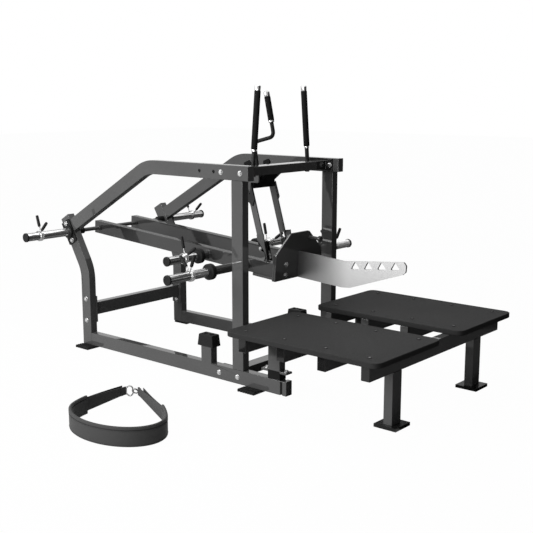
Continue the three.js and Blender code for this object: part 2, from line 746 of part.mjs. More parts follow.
function catchHanger() {
  const h = hanger;
  const { x, z } = catchHinge;
  const [rear, front, bottom, top] = [x - h.rear, x + h.front, z - h.bottom, z + h.top];
  const block = box([rear, front], [-h.half, h.half], [bottom, top]);
  const neckFront = beamRear - seat;
  const neck = pulled('y', -h.neckHalf, h.neckHalf, [at(front - weld, bottom), at(front, bottom),
    at(neckFront, z + h.neckLow), at(neckFront, z + h.neckTop), at(front - weld, z + h.neckTop),
    at(rear, top - weld)]);
  const [earRear, earFront, earTop] = [x - h.ear.rear, x + h.ear.front, z + h.ear.top];
  const ear = (from, to) => pulled('y', from, to, [at(earRear, bottom), at(earFront, bottom),
    at(earFront, earTop - h.ear.cut), at(earFront - h.ear.cut, earTop), at(earRear, earTop - h.ear.cut)]);
  const ribs = [-1, 1].map((sign) => centredBox(front, sign * h.rib.y, (bottom + top) / 2,
    2 * h.rib.depth, h.rib.width, top - bottom));
  const bolt = boltHead('x', front, 1, 0, z - h.boltDrop, smallBolt);
  const solid = join(block, neck, ear(-h.half, h.ear.thickness - h.half),
    ear(h.half - h.ear.thickness, h.half), ...ribs, bolt);
  return cut(solid, crossBore(x, z, -h.half, h.half, catchHinge.radius, running));
}

place('catch_hanger', catchHanger(), black);

// Catch: two struts and a crank on one shaft, drawn from the hinge

catchGroup.position.set(catchHinge.x, 0, catchHinge.z);

// The struts lean so that the keepers' pins pass just before their toes
const toPin = onLever(...onKeeper(keeper.pinBack, keeper.pinW)).sub(at(catchHinge.x, catchHinge.z));
toPin.x -= strut.offsetX;
const strutLean = Math.atan2(toPin.x, -toPin.y) + Math.asin(strut.pinBehind / toPin.length());
const shoulderDown = Math.sqrt(toPin.lengthSq() - strut.pinBehind ** 2) - strut.pinDrop;
const toeDown = shoulderDown + strut.toeLength;

// A point on a strut, by its distance down the strut and across it to the front.
function onStrut(down, across) {
  const x = strut.offsetX + down * Math.sin(strutLean) + across * Math.cos(strutLean);
  return at(x, -down * Math.cos(strutLean) + across * Math.sin(strutLean));
}

function strutPlate(from, to) {
  const half = strut.width / 2;
  const throat = strut.toeWidth - half;
  return pulled('y', from, to, roundedOutline([
    onStrut(-strut.crown, -half), onStrut(toeDown, -half), onStrut(toeDown, throat),
    onStrut(shoulderDown, throat), onStrut(shoulderDown, half), onStrut(-strut.crown, half),
  ], [strut.width / 3, 0, strut.toeWidth / 3, 0, 0, strut.width / 3]));
}

function gussetPlate(from, to) {
  const { tip, corner, notch, armTop, cornerHalf, armHalf } = gusset;
  return pulled('y', from, to, [onStrut(tip, 0), onStrut(corner, cornerHalf), onStrut(armTop, armHalf),
    onStrut(notch, 0), onStrut(armTop, -armHalf), onStrut(corner, -cornerHalf)]);
}

function catchFrame() {
  const outer = strut.inner + strut.thickness;
  const plate = strutPlate(strut.inner, outer);
  const brace = gussetPlate(outer - weld, outer + gusset.thickness);
  const shaft = crossRod(0, 0, -outer, outer, catchHinge.radius);
  const { rear, front, bottom, top } = crank;
  const crankPlate = pulled('y', -outer, -strut.inner, roundedOutline(
    [at(-rear, -bottom), at(front, -bottom), at(front, top), at(-rear, top)], crank.cornerRadius));
  return join(shaft, plate, mirrored(plate), brace, mirrored(brace), crankPlate);
}

// The cranked pull: up from the crank, forward over the beam, then up and back to the grip.
const pullY = -(strut.inner + strut.thickness / 2);
const stemLean = Math.atan2(pull.footX - pull.stemX, pull.stemZ - crank.top);
const pullFootZ = crank.top + seat + pull.radius * Math.sin(stemLean);

function inPull(x, z) {
  return new THREE.Vector3(x, pullY, z);
}

function pullPath() {
  const stops = [inPull(pull.footX, pullFootZ), inPull(pull.stemX, pull.stemZ),
    inPull(pull.kneeX, pull.kneeZ), inPull(pull.topX, pull.topZ)];
  const path = new THREE.CurvePath();
  let from = stops[0];
  for (const i of [1, 2]) {
    const back = stops[i - 1].clone().sub(stops[i]).setLength(pull.bendRadius);
    const on = stops[i + 1].clone().sub(stops[i]).setLength(pull.bendRadius);
    const enter = stops[i].clone().add(back);
    const leave = stops[i].clone().add(on);
    path.add(new THREE.LineCurve3(from, enter));
    path.add(new THREE.QuadraticBezierCurve3(enter, stops[i], leave));
    from = leave;
  }
  path.add(new THREE.LineCurve3(from, stops[3]));
  return { path, knee: stops[2], top: stops[3] };
}

function roundSection(radius, sides) {
  return new THREE.Shape(Array.from({ length: sides }, (_, i) => (
    at(radius * Math.cos(2 * Math.PI * i / sides), radius * Math.sin(2 * Math.PI * i / sides)))));
}

const { path: pullRoute, knee: pullKnee, top: pullTop } = pullPath();
const pullUp = pullTop.clone().sub(pullKnee).normalize();
const pullGripFoot = pullKnee.clone().addScaledVector(pullUp, pull.gripStart);
const pullGripHead = pullGripFoot.clone().addScaledVector(pullUp, grip.length);

function catchPull() {
  const stem = new THREE.ExtrudeGeometry(roundSection(pull.radius, smallSides),
    { steps: pullSteps, bevelEnabled: false, extrudePath: pullRoute });
  const ringFoot = pullGripFoot.clone().addScaledVector(pullUp, -grip.ringLength - seat);
  const ringHead = pullGripFoot.clone().addScaledVector(pullUp, -seat);
  const capFoot = pullGripHead.clone().addScaledVector(pullUp, seat);
  const capHead = capFoot.clone().addScaledVector(pullUp, grip.capLength);
  return join(stem, rod(ringFoot, ringHead, grip.ringRadius, hornSides),
    rod(capFoot, capHead, grip.capRadius, hornSides));
}

function catchGripSleeve() {
  const body = rod(pullGripFoot, pullGripHead, grip.radius, roundSides);
  const bore = rod(pullGripFoot.clone().addScaledVector(pullUp, -overrun),
    pullGripHead.clone().addScaledVector(pullUp, overrun), pull.radius + seat, roundSides);
  return cut(body, bore);
}

place('catch_frame', catchFrame(), black, catchGroup);
place('catch_pull', catchPull(), chrome, catchGroup);
place('catch_grip', catchGripSleeve(), foamRubber, catchGroup);

// Upright grips that stand on the beam and lean inward

const postTilt = Math.atan2(post.footY - post.headY, post.headRise);
const postFoot = new THREE.Vector3(beam.x, post.footY, beamTop + seat + post.radius * Math.sin(postTilt));
const postHead = new THREE.Vector3(beam.x, post.headY, beamTop + post.headRise);
const postUp = postHead.clone().sub(postFoot).normalize();
const postLength = postHead.distanceTo(postFoot);
const foamEnd = postLength - post.capLength - seat;

function gripPost() {
  const { radius, capRadius, ringRadius, ringLength, foamStart, capLength } = post;
  const ringEnd = foamStart - seat;
  const capStart = postLength - capLength;
  const profile = [[0, 0], [radius, 0], [radius, ringEnd - ringLength], [ringRadius, ringEnd - ringLength],
    [ringRadius, ringEnd], [radius, ringEnd], [radius, capStart], [capRadius, capStart],
    [capRadius, postLength], [0, postLength]];
  return turned(profile, postFoot, postUp, smallSides * 2);
}

function foamSleeve() {
  const inner = post.radius + seat;
  const profile = [[inner, post.foamStart], [foam.radius, post.foamStart], [foam.radius, foamEnd],
    [inner, foamEnd], [inner, post.foamStart]];
  return turned(profile, postFoot, postUp, smallSides * 2);
}

placePair('grip_post', gripPost(), chrome);
placePair('foam_grip', foamSleeve(), foamRubber);

// Platform

const plankBottom = plank.top - plank.thickness;
const crossTop = plankBottom - seat;
const crossBottom = crossTop - tube.depth;
const crossFirst = plank.rear + crossTube.rearInset;
const crossPitch = (plank.front - crossTube.frontInset - crossFirst) / (crossTube.count - 1);
const crossXs = Array.from({ length: crossTube.count }, (_, i) => crossFirst + i * crossPitch);
const frontCrossX = crossXs[crossTube.count - 1];

function footPlank() {
  const corners = [at(plank.rear, plank.inner), at(plank.front, plank.inner),
    at(plank.front, plank.outer), at(plank.rear, plank.outer)];
  const board = pulled('z', plankBottom, plank.top, roundedOutline(corners, plank.cornerRadius));
  const screws = [];
  for (const x of crossXs) {
    for (const y of [plankScrew.inner, plankScrew.outer]) {
      screws.push(rod(new THREE.Vector3(x, y, plank.top - weld),
        new THREE.Vector3(x, y, plank.top + plankScrew.height), plankScrew.radius, smallSides));
    }
  }
  return join(board, ...screws);
}

// Cross tubes under one foot plate, the stringer that joins them and the post at its rear.
function platformFrame() {
  const halfWidth = tube.width / 2;
  const bars = crossXs.slice(0, -1).map((x) => (
    box([x - halfWidth, x + halfWidth], [plank.inner, crossTube.end], [crossBottom, crossTop])));
  const stringer = box([crossXs[0] - halfWidth, frontCrossX - halfWidth - seat],
    [side.inner, side.outer], [crossBottom, crossTop]);
  const { rear, flangeThickness } = rearLeg;
  const flangeTop = base.top + rearLeg.flangeRise;
  const tabRear = rear - rearLeg.flangeRear;
  const tabFront = rear + tube.depth + rearLeg.flangeFront;
  const leg = box([rear, rear + tube.depth], [side.inner, side.outer], [flangeTop - weld, crossBottom + weld]);
  const tab = box([tabRear, tabFront], [side.inner, side.outer], [flangeTop - flangeThickness, flangeTop]);
  const spacerHalf = rearLeg.spacerWidth / 2;
  const spacer = box([rear, rear + tube.depth], [side.middle - spacerHalf, side.middle + spacerHalf],
    [base.top + seat, flangeTop - flangeThickness + weld]);
  const bolts = [tabRear + rearLeg.boltInset, tabFront - rearLeg.boltInset].map((x) => (
    boltHead('z', flangeTop, 1, x, side.middle)));
  return join(stringer, ...bars, leg, tab, spacer, ...bolts);
}

function frontLegSolid() {
  const { footLength, footWidth, footThickness } = frontLeg;
  const post = centredBox(frontCrossX, side.middle, (crossBottom - seat + footThickness - weld) / 2,
    tube.width, tube.depth, crossBottom - seat - footThickness + weld);
  const foot = centredBox(frontCrossX, side.middle, footThickness / 2, footLength, footWidth, footThickness);
  return join(post, foot);
}

placePair('foot_plate', footPlank(), paint);
placePair('platform_frame', platformFrame(), paint);
place('front_platform_tube',
  centredBox(frontCrossX, 0, (crossTop + crossBottom) / 2, tube.width, 2 * crossTube.end, tube.depth), paint);
placePair('front_leg', frontLegSolid(), paint);

// Spring collars

const collarRadius = (barbell.radius + seat + collar.wireRadius) / Math.cos(Math.PI / loopSteps);
const collarHalf = collar.pitch * collar.turns / 2;

function polar(radius, angle, y) {
  return new THREE.Vector3(radius * Math.cos(angle), y, radius * Math.sin(angle));
}

// The wire's middle line: in along one leg, around the sleeve, and out along the other.
function collarPoints(legLowDeg, legHighDeg) {
  const sweep = 2 * Math.PI * collar.turns + radians(legHighDeg - legLowDeg);
  const steps = Math.round(sweep / (2 * Math.PI) * loopSteps);
  const start = radians(legLowDeg);
  const points = [];
  const legStart = collarRadius + collar.bend;
  points.push(polar(collar.gripStart + collar.bend, start, collarHalf));
  points.push(polar(legStart, start, collarHalf));
  for (let i = 1; i < steps; i += 1) {
    const share = i / steps;
    points.push(polar(collarRadius, start + sweep * share, collarHalf - 2 * collarHalf * share));
  }
  points.push(polar(legStart, start + sweep, -collarHalf));
  points.push(polar(collar.gripStart + collar.bend, start + sweep, -collarHalf));
  return points;
}

// Least distance of the wire to itself, taken between steps that lie over half a turn apart.
function wireGap(points) {
  let least = Infinity;
  for (let i = 0; i < points.length; i += 1) {
    for (let j = i + loopSteps / 2; j < points.length; j += 1) {
      least = Math.min(least, points[i].distanceTo(points[j]));
    }
  }
  return least - 2 * collar.wireRadius;
}

function springCollar(legLowDeg, legHighDeg) {
  const points = collarPoints(legLowDeg, legHighDeg);
  const route = new THREE.CatmullRomCurve3(points, false, 'centripetal');
  const steps = points.length + Math.round(loopSteps / 3);
  console.log(`spring collar: wire gap ${wireGap(route.getSpacedPoints(4 * steps)).toFixed(2)} mm`);
  const wire = new THREE.ExtrudeGeometry(roundSection(collar.wireRadius, wireSides),
    { steps, bevelEnabled: false, extrudePath: route });
  const grips = [[legLowDeg, collarHalf], [legHighDeg, -collarHalf]].map(([deg, y]) => (
    rod(polar(collar.gripStart, radians(deg), y), polar(collar.gripEnd, radians(deg), y),
      collar.gripRadius, smallSides)));
  return join(wire, ...grips);
}

function placeCollars(name, group, x, y, z, legLowDeg, legHighDeg) {
  const solid = springCollar(legLowDeg, legHighDeg);
  solid.translate(x, y, z);
  placePair(name, solid, brushed, group);
}

placeCollars('storage_collar', machine, pivotPoint.x, storage.collarY, pivotPoint.y, 45, 107);
placeCollars('rear_horn_collar', leverGroup, rearHorn.u, rearHorn.collarY, 0,
  35 + lever.slopeDeg, 102 + lever.slopeDeg);
placeCollars('front_horn_collar', leverGroup, frontHorn.u, frontHorn.collarY, 0,
  68 + lever.slopeDeg, 131 + lever.slopeDeg);

// Belt

// A flat strip of one thickness that follows points on the floor, between two heights.
function ribbon(points, thickness, bottom, top) {
  const left = [];
  const right = [];
  points.forEach((point, i) => {
    const before = points[Math.max(i - 1, 0)];
    const after = points[Math.min(i + 1, points.length - 1)];
    const along = after.clone().sub(before).normalize();
    const across = at(-along.y, along.x).multiplyScalar(thickness / 2);
    left.push(point.clone().add(across));
    right.push(point.clone().sub(across));
  });
  return pulled('z', bottom, top, [...left, ...right.reverse()]);
}

function bandPoints() {
  return Array.from({ length: band.steps + 1 }, (_, i) => {
    const angle = radians(band.startDeg + (band.endDeg - band.startDeg) * i / band.steps);
    return at(band.x + band.halfLength * Math.cos(angle), band.y + band.halfWidth * Math.sin(angle));
  });
}

function beltBand() {
  const points = bandPoints();
  const first = points[0];
  const last = points[points.length - 1];
  const leftEnd = at(strap.leftEndX, strap.leftEndY);
  const rightEnd = at(strap.rightEndX, strap.rightEndY);
  const strapTop = strap.bottom + strap.height;
  return join(
    ribbon(points, band.thickness, 0, band.height),
    ribbon(points, band.rimThickness, 0, band.rimHeight),
    ribbon(points, band.rimThickness, band.height - band.rimHeight, band.height),
    ribbon([points[1], first, leftEnd], strap.thickness, strap.bottom, strapTop),
    ribbon([points[points.length - 2], last, rightEnd], strap.thickness, strap.bottom, strapTop),
  );
}

const clipAlong = at(strap.rightEndX - strap.leftEndX, strap.rightEndY - strap.leftEndY).normalize();
const clipMiddle = strap.bottom + strap.height / 2;

// A closed link of round wire that stands upright in the line between the strap ends.
function link(startX, startY, size) {
  const { wire, width, height } = size;
  const route = new THREE.Curve();
  const halfWide = (width - 2 * wire) / 2;
  const halfHigh = (height - 2 * wire) / 2;
  route.getPoint = (t) => {
    const angle = 2 * Math.PI * t;
    const out = wire + halfWide + halfWide * Math.cos(angle);
    return new THREE.Vector3(startX + out * clipAlong.x, startY + out * clipAlong.y,
      clipMiddle + halfHigh * Math.sin(angle));
  };
  const sides = wireSides;
  const rings = loopSteps;
  const across = new THREE.Vector3(-clipAlong.y, clipAlong.x, 0);
  const positions = [];
  const index = [];
  for (let i = 0; i < rings; i += 1) {
    const middle = route.getPoint(i / rings);
    const outward = route.getTangent(i / rings).cross(across).normalize();
    for (let j = 0; j < sides; j += 1) {
      const angle = 2 * Math.PI * j / sides;
      const spot = middle.clone().addScaledVector(outward, wire * Math.cos(angle));
      spot.addScaledVector(across, wire * Math.sin(angle));
      positions.push(spot.x, spot.y, spot.z);
      const here = i * sides + j;
      const up = i * sides + (j + 1) % sides;
      const next = ((i + 1) % rings) * sides + j;
      const nextUp = ((i + 1) % rings) * sides + (j + 1) % sides;
      index.push(here, next, nextUp, here, nextUp, up);
    }
  }
  const geometry = new THREE.BufferGeometry();
  geometry.setAttribute('position', new THREE.Float32BufferAttribute(positions, 3));
  geometry.setIndex(index);
  return geometry;
}

const leftStrapEnd = at(strap.leftEndX, strap.leftEndY);
const clipLength = leftStrapEnd.distanceTo(at(strap.rightEndX, strap.rightEndY));
snapLink.width = clipLength - 2 * strap.endPlay - ringLink.width - seat;
const ringStart = leftStrapEnd.clone().addScaledVector(clipAlong, strap.endPlay);
const snapStart = ringStart.clone().addScaledVector(clipAlong, ringLink.width + seat);

place('belt_band', beltBand(), webbing);
place('belt_ring', link(ringStart.x, ringStart.y, ringLink), chrome);
place('belt_snap_link', link(snapStart.x, snapStart.y, snapLink), chrome);

// The frame of the whole part: bottom centre of everything, on the floor.
machine.updateMatrixWorld(true);
const bounds = new THREE.Box3().setFromObject(machine);
const middle = bounds.getCenter(new THREE.Vector3());
machine.position.set(-middle.x, -middle.y, -bounds.min.z);

export default root;
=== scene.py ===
# Belt squat machine, dressed for its picture. Metres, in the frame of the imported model.
from math import cos, dist, pi, radians, sin, tau

import bpy
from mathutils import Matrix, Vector


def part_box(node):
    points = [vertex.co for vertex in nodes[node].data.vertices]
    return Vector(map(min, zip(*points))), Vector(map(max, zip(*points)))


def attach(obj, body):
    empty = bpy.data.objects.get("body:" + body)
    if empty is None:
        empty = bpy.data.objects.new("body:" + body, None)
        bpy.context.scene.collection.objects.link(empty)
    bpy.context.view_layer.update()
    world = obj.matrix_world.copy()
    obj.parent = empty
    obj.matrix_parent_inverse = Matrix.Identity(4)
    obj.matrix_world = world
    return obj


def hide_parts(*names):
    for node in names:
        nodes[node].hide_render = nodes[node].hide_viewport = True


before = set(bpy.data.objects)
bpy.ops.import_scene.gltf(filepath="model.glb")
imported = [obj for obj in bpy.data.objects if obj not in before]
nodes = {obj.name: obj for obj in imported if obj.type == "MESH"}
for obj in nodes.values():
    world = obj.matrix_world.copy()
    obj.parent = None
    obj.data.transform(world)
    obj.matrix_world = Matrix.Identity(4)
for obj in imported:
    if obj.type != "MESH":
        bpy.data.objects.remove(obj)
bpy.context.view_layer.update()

MM = 0.001
SIGN = {"near": -1, "far": 1}
ACROSS = {"near": Vector((0, -1, 0)), "far": Vector((0, 1, 0))}
FORWARD, UP = Vector((1, 0, 0)), Vector((0, 0, 1))

# The machine's own zero: middle plane, rear face of the front uprights, floor
far_low, far_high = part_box("front_upright_far")
near_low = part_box("front_upright_near")[0]
ORIGIN = Vector((far_low[0], (far_high[1] + near_low[1]) / 2, 0.0))


def at(x, y, z):
    """A place given in millimetres from the machine's own zero."""
    return ORIGIN + Vector((x, y, z)) * MM


# Sizes in millimetres, and angles, the same as the solids have
SIDE_OUTER, SIDE_INNER = 430, 380
LEAN = radians(30)
UPRIGHT_X, UPRIGHT_BEND = -1264, 496.5
PIVOT_RISE = 272
PIVOT_X = UPRIGHT_X - PIVOT_RISE * sin(LEAN)
PIVOT_Z = UPRIGHT_BEND + PIVOT_RISE * cos(LEAN)
SLOPE = radians(4.06)
RAIL_OUTER = 184
SLEEVE_RADIUS = 25
CAP_RADIUS, CAP_LENGTH = 28, 12
RING_RADIUS, RING_LENGTH = 45, 32
STORAGE_START, STORAGE_END = 440.6, 772
BEAM_X, BEAM_Z = -6, 1183
MOUNT_FRONT = 1527.6
PLANK_TOP = 391
CROSS_FIRST, CROSS_PITCH, CROSS_END = 264.7, 255.7, 645


def on_lever(u, y, w):
    """A place on the lever: along the rails from the pivot, across, and square to the rails."""
    x = PIVOT_X + u * cos(SLOPE) + w * sin(SLOPE)
    z = PIVOT_Z - u * sin(SLOPE) + w * cos(SLOPE)
    return at(x, y, z)


def on_lean(rise, y):
    """A place in the middle of the leaning part of a rear upright."""
    return at(UPRIGHT_X - rise * sin(LEAN), y, UPRIGHT_BEND + rise * cos(LEAN))


# Camera, fitted to the photograph
CAMERA_PLACE = (3348.2, -4084.7, 1593.3)
CAMERA_YAW, CAMERA_PITCH = 40.30, 10.52
CAMERA_LENS, SENSOR_WIDTH = 62.39, 36

scene = bpy.context.scene
camera_data = bpy.data.cameras.new("camera")
camera_data.lens = CAMERA_LENS
camera_data.sensor_width = SENSOR_WIDTH
camera = bpy.data.objects.new("camera", camera_data)
camera.location = at(*CAMERA_PLACE)
camera.rotation_euler = (radians(90 - CAMERA_PITCH), 0, radians(CAMERA_YAW))
scene.collection.objects.link(camera)
scene.camera = camera


# Nodes of materials and of the world

def set_values(target, values):
    """Values go to a node's sockets by name, and what isn't a socket to its properties."""
    for key, value in values.items():
        socket = key.replace("_", " ")
        if socket in target.inputs:
            target.inputs[socket].default_value = value
        else:
            setattr(target, key, value)


def node(owner, kind, **values):
    made = owner.node_tree.nodes.new(kind)
    set_values(made, values)
    return made


def link(owner, source, target):
    owner.node_tree.links.new(source, target)


def math_node(owner, operation, *values):
    """Result of one sum; each value is a number or the output that gives it."""
    made = node(owner, "ShaderNodeMath", operation=operation)
    for socket, value in zip(made.inputs, values):
        if isinstance(value, (int, float)):
            socket.default_value = value
        else:
            link(owner, value, socket)
    return made.outputs["Value"]


NOISE_LOW, NOISE_HIGH = 0.3, 0.7


def remap(owner, value, low, high, from_low=NOISE_LOW, from_high=NOISE_HIGH):
    """A value carried from one range, for noise the usual one, to another."""
    made = node(owner, "ShaderNodeMapRange", From_Min=from_low, From_Max=from_high, To_Min=low, To_Max=high)
    link(owner, value, made.inputs["Value"])
    return made.outputs["Result"]


def surface_of(material):
    return material.node_tree.nodes["Principled BSDF"]


def gray(level):
    return (level, level, level, 1)


def new_material(name, level, roughness, **sockets):
    """A gray material with a principled surface; other sockets are given by name."""
    material = bpy.data.materials.new(name)
    material.use_nodes = True
    set_values(surface_of(material), {"Base_Color": gray(level), "Roughness": roughness, **sockets})
    return material


def coordinates(material, stretch=(1, 1, 1), source="Object"):
    """Texture coordinates that ride with the piece, stretched per axis."""
    mapping = node(material, "ShaderNodeMapping", Scale=stretch)
    link(material, node(material, "ShaderNodeTexCoord").outputs[source], mapping.inputs["Vector"])
    return mapping.outputs["Vector"]


def noise(material, vector, scale, detail, roughness=0.5):
    made = node(material, "ShaderNodeTexNoise", Scale=scale, Detail=detail, Roughness=roughness)
    link(material, vector, made.inputs["Vector"])
    return made.outputs["Fac"]


def add_bump(material, height, strength, distance):
    bump = node(material, "ShaderNodeBump", Strength=strength, Distance=distance)
    link(material, height, bump.inputs["Height"])
    link(material, bump.outputs["Normal"], surface_of(material).inputs["Normal"])


def tint(material, value, level, dark, light):
    """Colour that runs between two shares of its level, by a value from 0 to 1."""
    ramp = node(material, "ShaderNodeValToRGB")
    ramp.color_ramp.elements[0].color = gray(level * dark)
    ramp.color_ramp.elements[1].color = gray(min(level * light, 1))
    link(material, value, ramp.inputs["Fac"])
    link(material, ramp.outputs["Color"], surface_of(material).inputs["Base Color"])


def vary_gloss(material, value, roughness, low, high):
    """Roughness that runs between two shares of itself, by a noise."""
    varied = remap(material, value, roughness * low, min(roughness * high, 1))
    link(material, varied, surface_of(material).inputs["Roughness"])


# Materials

def paint_material(name, level, roughness, specular):
    """Powder paint: faint cloudiness in the colour, fine peel and a little spread in the gloss."""
    material = new_material(name, level, roughness, Specular_IOR_Level=specular)
    vector = coordinates(material)
    cloud = noise(material, vector, scale=3.0, detail=3.0)
    tint(material, remap(material, cloud, 0.0, 1.0), level, dark=0.92, light=1.08)
    speckle = noise(material, vector, scale=420.0, detail=3.0)
    vary_gloss(material, speckle, roughness, low=0.8, high=1.25)
    peel = noise(material, vector, scale=60.0, detail=2.0)
    add_bump(material, peel, strength=0.03, distance=0.0006)
    return material


def steel_material(name, level, roughness, bump, stretch=(1, 1, 1)):
    """Bare or plated metal with fine lines; the stretch says along which axis they run."""
    material = new_material(name, level, roughness, Metallic=1.0)
    lines = noise(material, coordinates(material, stretch), scale=90.0, detail=6.0, roughness=0.65)
    vary_gloss(material, lines, roughness, low=0.7, high=1.35)
    tint(material, remap(material, lines, 0.0, 1.0), level, dark=0.9, light=1.08)
    add_bump(material, lines, bump, distance=0.0002)
    return material


def rubber_material(name, level, roughness, grain_scale, bump, specular=0.12):
    """Rubber, moulded plastic or foam: one grain in the colour, the gloss and the surface."""
    material = new_material(name, level, roughness, Specular_IOR_Level=specular)
    grain = noise(material, coordinates(material), grain_scale, detail=5.0, roughness=0.6)
    tint(material, remap(material, grain, 0.0, 1.0), level, dark=0.75, light=1.3)
    vary_gloss(material, grain, roughness, low=0.85, high=1.15)
    add_bump(material, grain, bump, distance=0.0008)
    return material


def webbing_material(name, level):
    """Woven band: crossed threads along and across the strip, by its own length and height."""
    material = new_material(name, level, roughness=0.8, Specular_IOR_Level=0.15, Sheen_Weight=0.06,
                            Sheen_Roughness=0.4)
    vector = coordinates(material, source="UV")
    threads = []
    for direction, scale in (("X", 110.0), ("Y", 150.0)):
        wave = node(material, "ShaderNodeTexWave", bands_direction=direction, Scale=scale, Distortion=0.4)
        link(material, vector, wave.inputs["Vector"])
        threads.append(wave.outputs["Fac"])
    weave = math_node(material, "MULTIPLY", *threads)
    tint(material, weave, level, dark=0.9, light=1.15)
    add_bump(material, weave, strength=0.12, distance=0.0004)
    return material


PAINT_LEVEL, BLACK_LEVEL, STRUT_LEVEL = 0.050, 0.009, 0.064
# Each paint's level, roughness and specular level
PAINT = paint_material("gloss_paint", PAINT_LEVEL, 0.05, 0.4)
# The lever's rails have the frame's paint; this darker copy of it is painted shade
LEVER_SHADED_PAINT = paint_material("lever_paint_painted_shade", 0.029, 0.05, 0.4)
BLACK_PAINT = paint_material("black_paint", BLACK_LEVEL, 0.3, 0.12)
MATTE_BLACK = paint_material("matte_black", 0.008, 0.8, 0.06)
PLATE_PAINT = paint_material("plate_finish", 0.018, 0.72, 0.12)
# Each metal's level, roughness and bump
CHROME = steel_material("chrome_plate", 0.80, 0.08, 0.004)
CAP_CHROME = steel_material("cap_chrome", 0.52, 0.14, 0.02)
# A paler, rougher copy of the chrome for the far front sleeve: its bright look is a painted reflection
PAINTED_REFLECTION_CHROME = steel_material("chrome_painted_reflection", 0.92, 0.5, 0.02)
ZINC = steel_material("zinc_bolt", 0.55, 0.24, 0.05)
DULL_ZINC = steel_material("dull_screw", 0.15, 0.45, 0.05)
LINK_STEEL = steel_material("link_steel", 0.22, 0.2, 0.04)
WIRE = steel_material("spring_wire", 0.38, 0.26, 0.04)
SHADED_ARM_STEEL = steel_material("arm_steel_painted_shade", 0.50, 0.36, 0.12, stretch=(1, 1, 14))
# Level, roughness, grain scale and bump of rubber, plastic and foam
RUBBER = rubber_material("bumper_rubber", 0.007, 0.6, 160.0, 0.25)
CAP_PLASTIC = rubber_material("cap_plastic", 0.008, 0.4, 300.0, 0.1)
FOAM = rubber_material("grip_foam", 0.012, 0.95, 500.0, 0.03, specular=0.0)
WEBBING = webbing_material("belt_webbing", 0.040)
# Darker webbing: the thread of the stitches, and painted shade in the band's groove
BINDING_AND_GROOVE_SHADE = webbing_material("belt_binding_and_groove_shade", 0.026)


# Paint whose colour depends on the place on the machine, and steel with painted shade along it

# Input and output numbers of a mix node's colours, which share their names with other sockets
MIX_OUTSIDE, MIX_INSIDE, MIX_RESULT = 6, 7, 2


def object_axes(material):
    """The three object coordinates, as outputs by name."""
    split = node(material, "ShaderNodeSeparateXYZ")
    link(material, node(material, "ShaderNodeTexCoord").outputs["Object"], split.inputs["Vector"])
    return split.outputs


def two_paints(name, band, inside=PAINT_LEVEL, axis="Y", above=None):
    """A node's paint, black but where the distance from the zero of an axis is in a band.

    Where a height is given, what lies below it is black too.
    """
    material = paint_material(f"{name}_paint", inside, roughness=0.06, specular=0.35)
    to_local = nodes[name].matrix_world.inverted()
    zero = (to_local @ at(0, 0, 0))["XYZ".index(axis)]
    axes = object_axes(material)
    low, high = band
    distance = math_node(material, "ABSOLUTE", math_node(material, "SUBTRACT", axes[axis], zero))
    chosen = math_node(material, "COMPARE", distance, (low + high) / 2 * MM, (high - low) / 2 * MM)
    if above is not None:
        higher = math_node(material, "GREATER_THAN", axes["Z"], (to_local @ at(0, 0, above)).z)
        chosen = math_node(material, "MULTIPLY", chosen, higher)
    color_socket = surface_of(material).inputs["Base Color"]
    mix = node(material, "ShaderNodeMix", data_type="RGBA")
    mix.inputs[MIX_OUTSIDE].default_value = gray(BLACK_LEVEL)
    link(material, chosen, mix.inputs["Factor"])
    link(material, color_socket.links[0].from_socket, mix.inputs[MIX_INSIDE])
    link(material, mix.outputs[MIX_RESULT], color_socket)
    return material


def shade_along(material, piece, start_x, end_x, share):
    """Painted shade: colour that rises along the machine, from a share of itself to the whole."""
    to_local = piece.matrix_world.inverted()
    start, end = ((to_local @ at(x, 0, 0)).x for x in (start_x, end_x))
    rise = remap(material, object_axes(material)["X"], share, 1.0, start, end)
    color_socket = surface_of(material).inputs["Base Color"]
    scaled = node(material, "ShaderNodeVectorMath", operation="SCALE")
    link(material, color_socket.links[0].from_socket, scaled.inputs[0])
    link(material, rise, scaled.inputs["Scale"])
    link(material, scaled.outputs["Vector"], color_socket)


# CAD nodes: welded, rounded and smoothed by modifiers, with their material

SHARP_ANGLE = 32
FLAT_ANGLE, EDGE_ANGLE = 0.4, 38
WELD_DISTANCE = 0.00002


def smoothing_group(angle):
    """Modifier nodes that shade smooth except over edges sharper than the angle."""
    group = bpy.data.node_groups.new("smooth_shading", "GeometryNodeTree")
    for direction in ("INPUT", "OUTPUT"):
        group.interface.new_socket("Geometry", in_out=direction, socket_type="NodeSocketGeometry")
    kinds = ("NodeGroupInput", "GeometryNodeSetShadeSmooth", "GeometryNodeSetShadeSmooth", "NodeGroupOutput",
             "GeometryNodeInputMeshEdgeAngle", "FunctionNodeCompare")
    start, faces, edges, end, edge_angle, compare = [group.nodes.new(kind) for kind in kinds]
    edges.domain = "EDGE"
    edges.inputs["Shade Smooth"].default_value = False
    compare.data_type = "FLOAT"
    compare.operation = "GREATER_THAN"
    compare.inputs["B"].default_value = angle
    group.links.new(edge_angle.outputs["Unsigned Angle"], compare.inputs["A"])
    group.links.new(compare.outputs["Result"], edges.inputs["Selection"])
    for source, target in ((start, faces), (faces, edges), (edges, end)):
        group.links.new(source.outputs["Geometry"], target.inputs["Geometry"])
    return group


SMOOTHING = smoothing_group(radians(SHARP_ANGLE))

# Roundings of edges, in millimetres; the two widest have one segment more
PAD_EDGE, SHEET_EDGE, FOLD_EDGE, LEG_EDGE, TUBE_EDGE = 0.8, 1.0, 1.5, 2.0, 2.6
PLATE_EDGE, BLOCK_EDGE = 4.0, 5.0


def add_modifier(piece, kind, **values):
    made = piece.modifiers.new(kind.lower(), kind)
    for key, value in values.items():
        setattr(made, key, value)


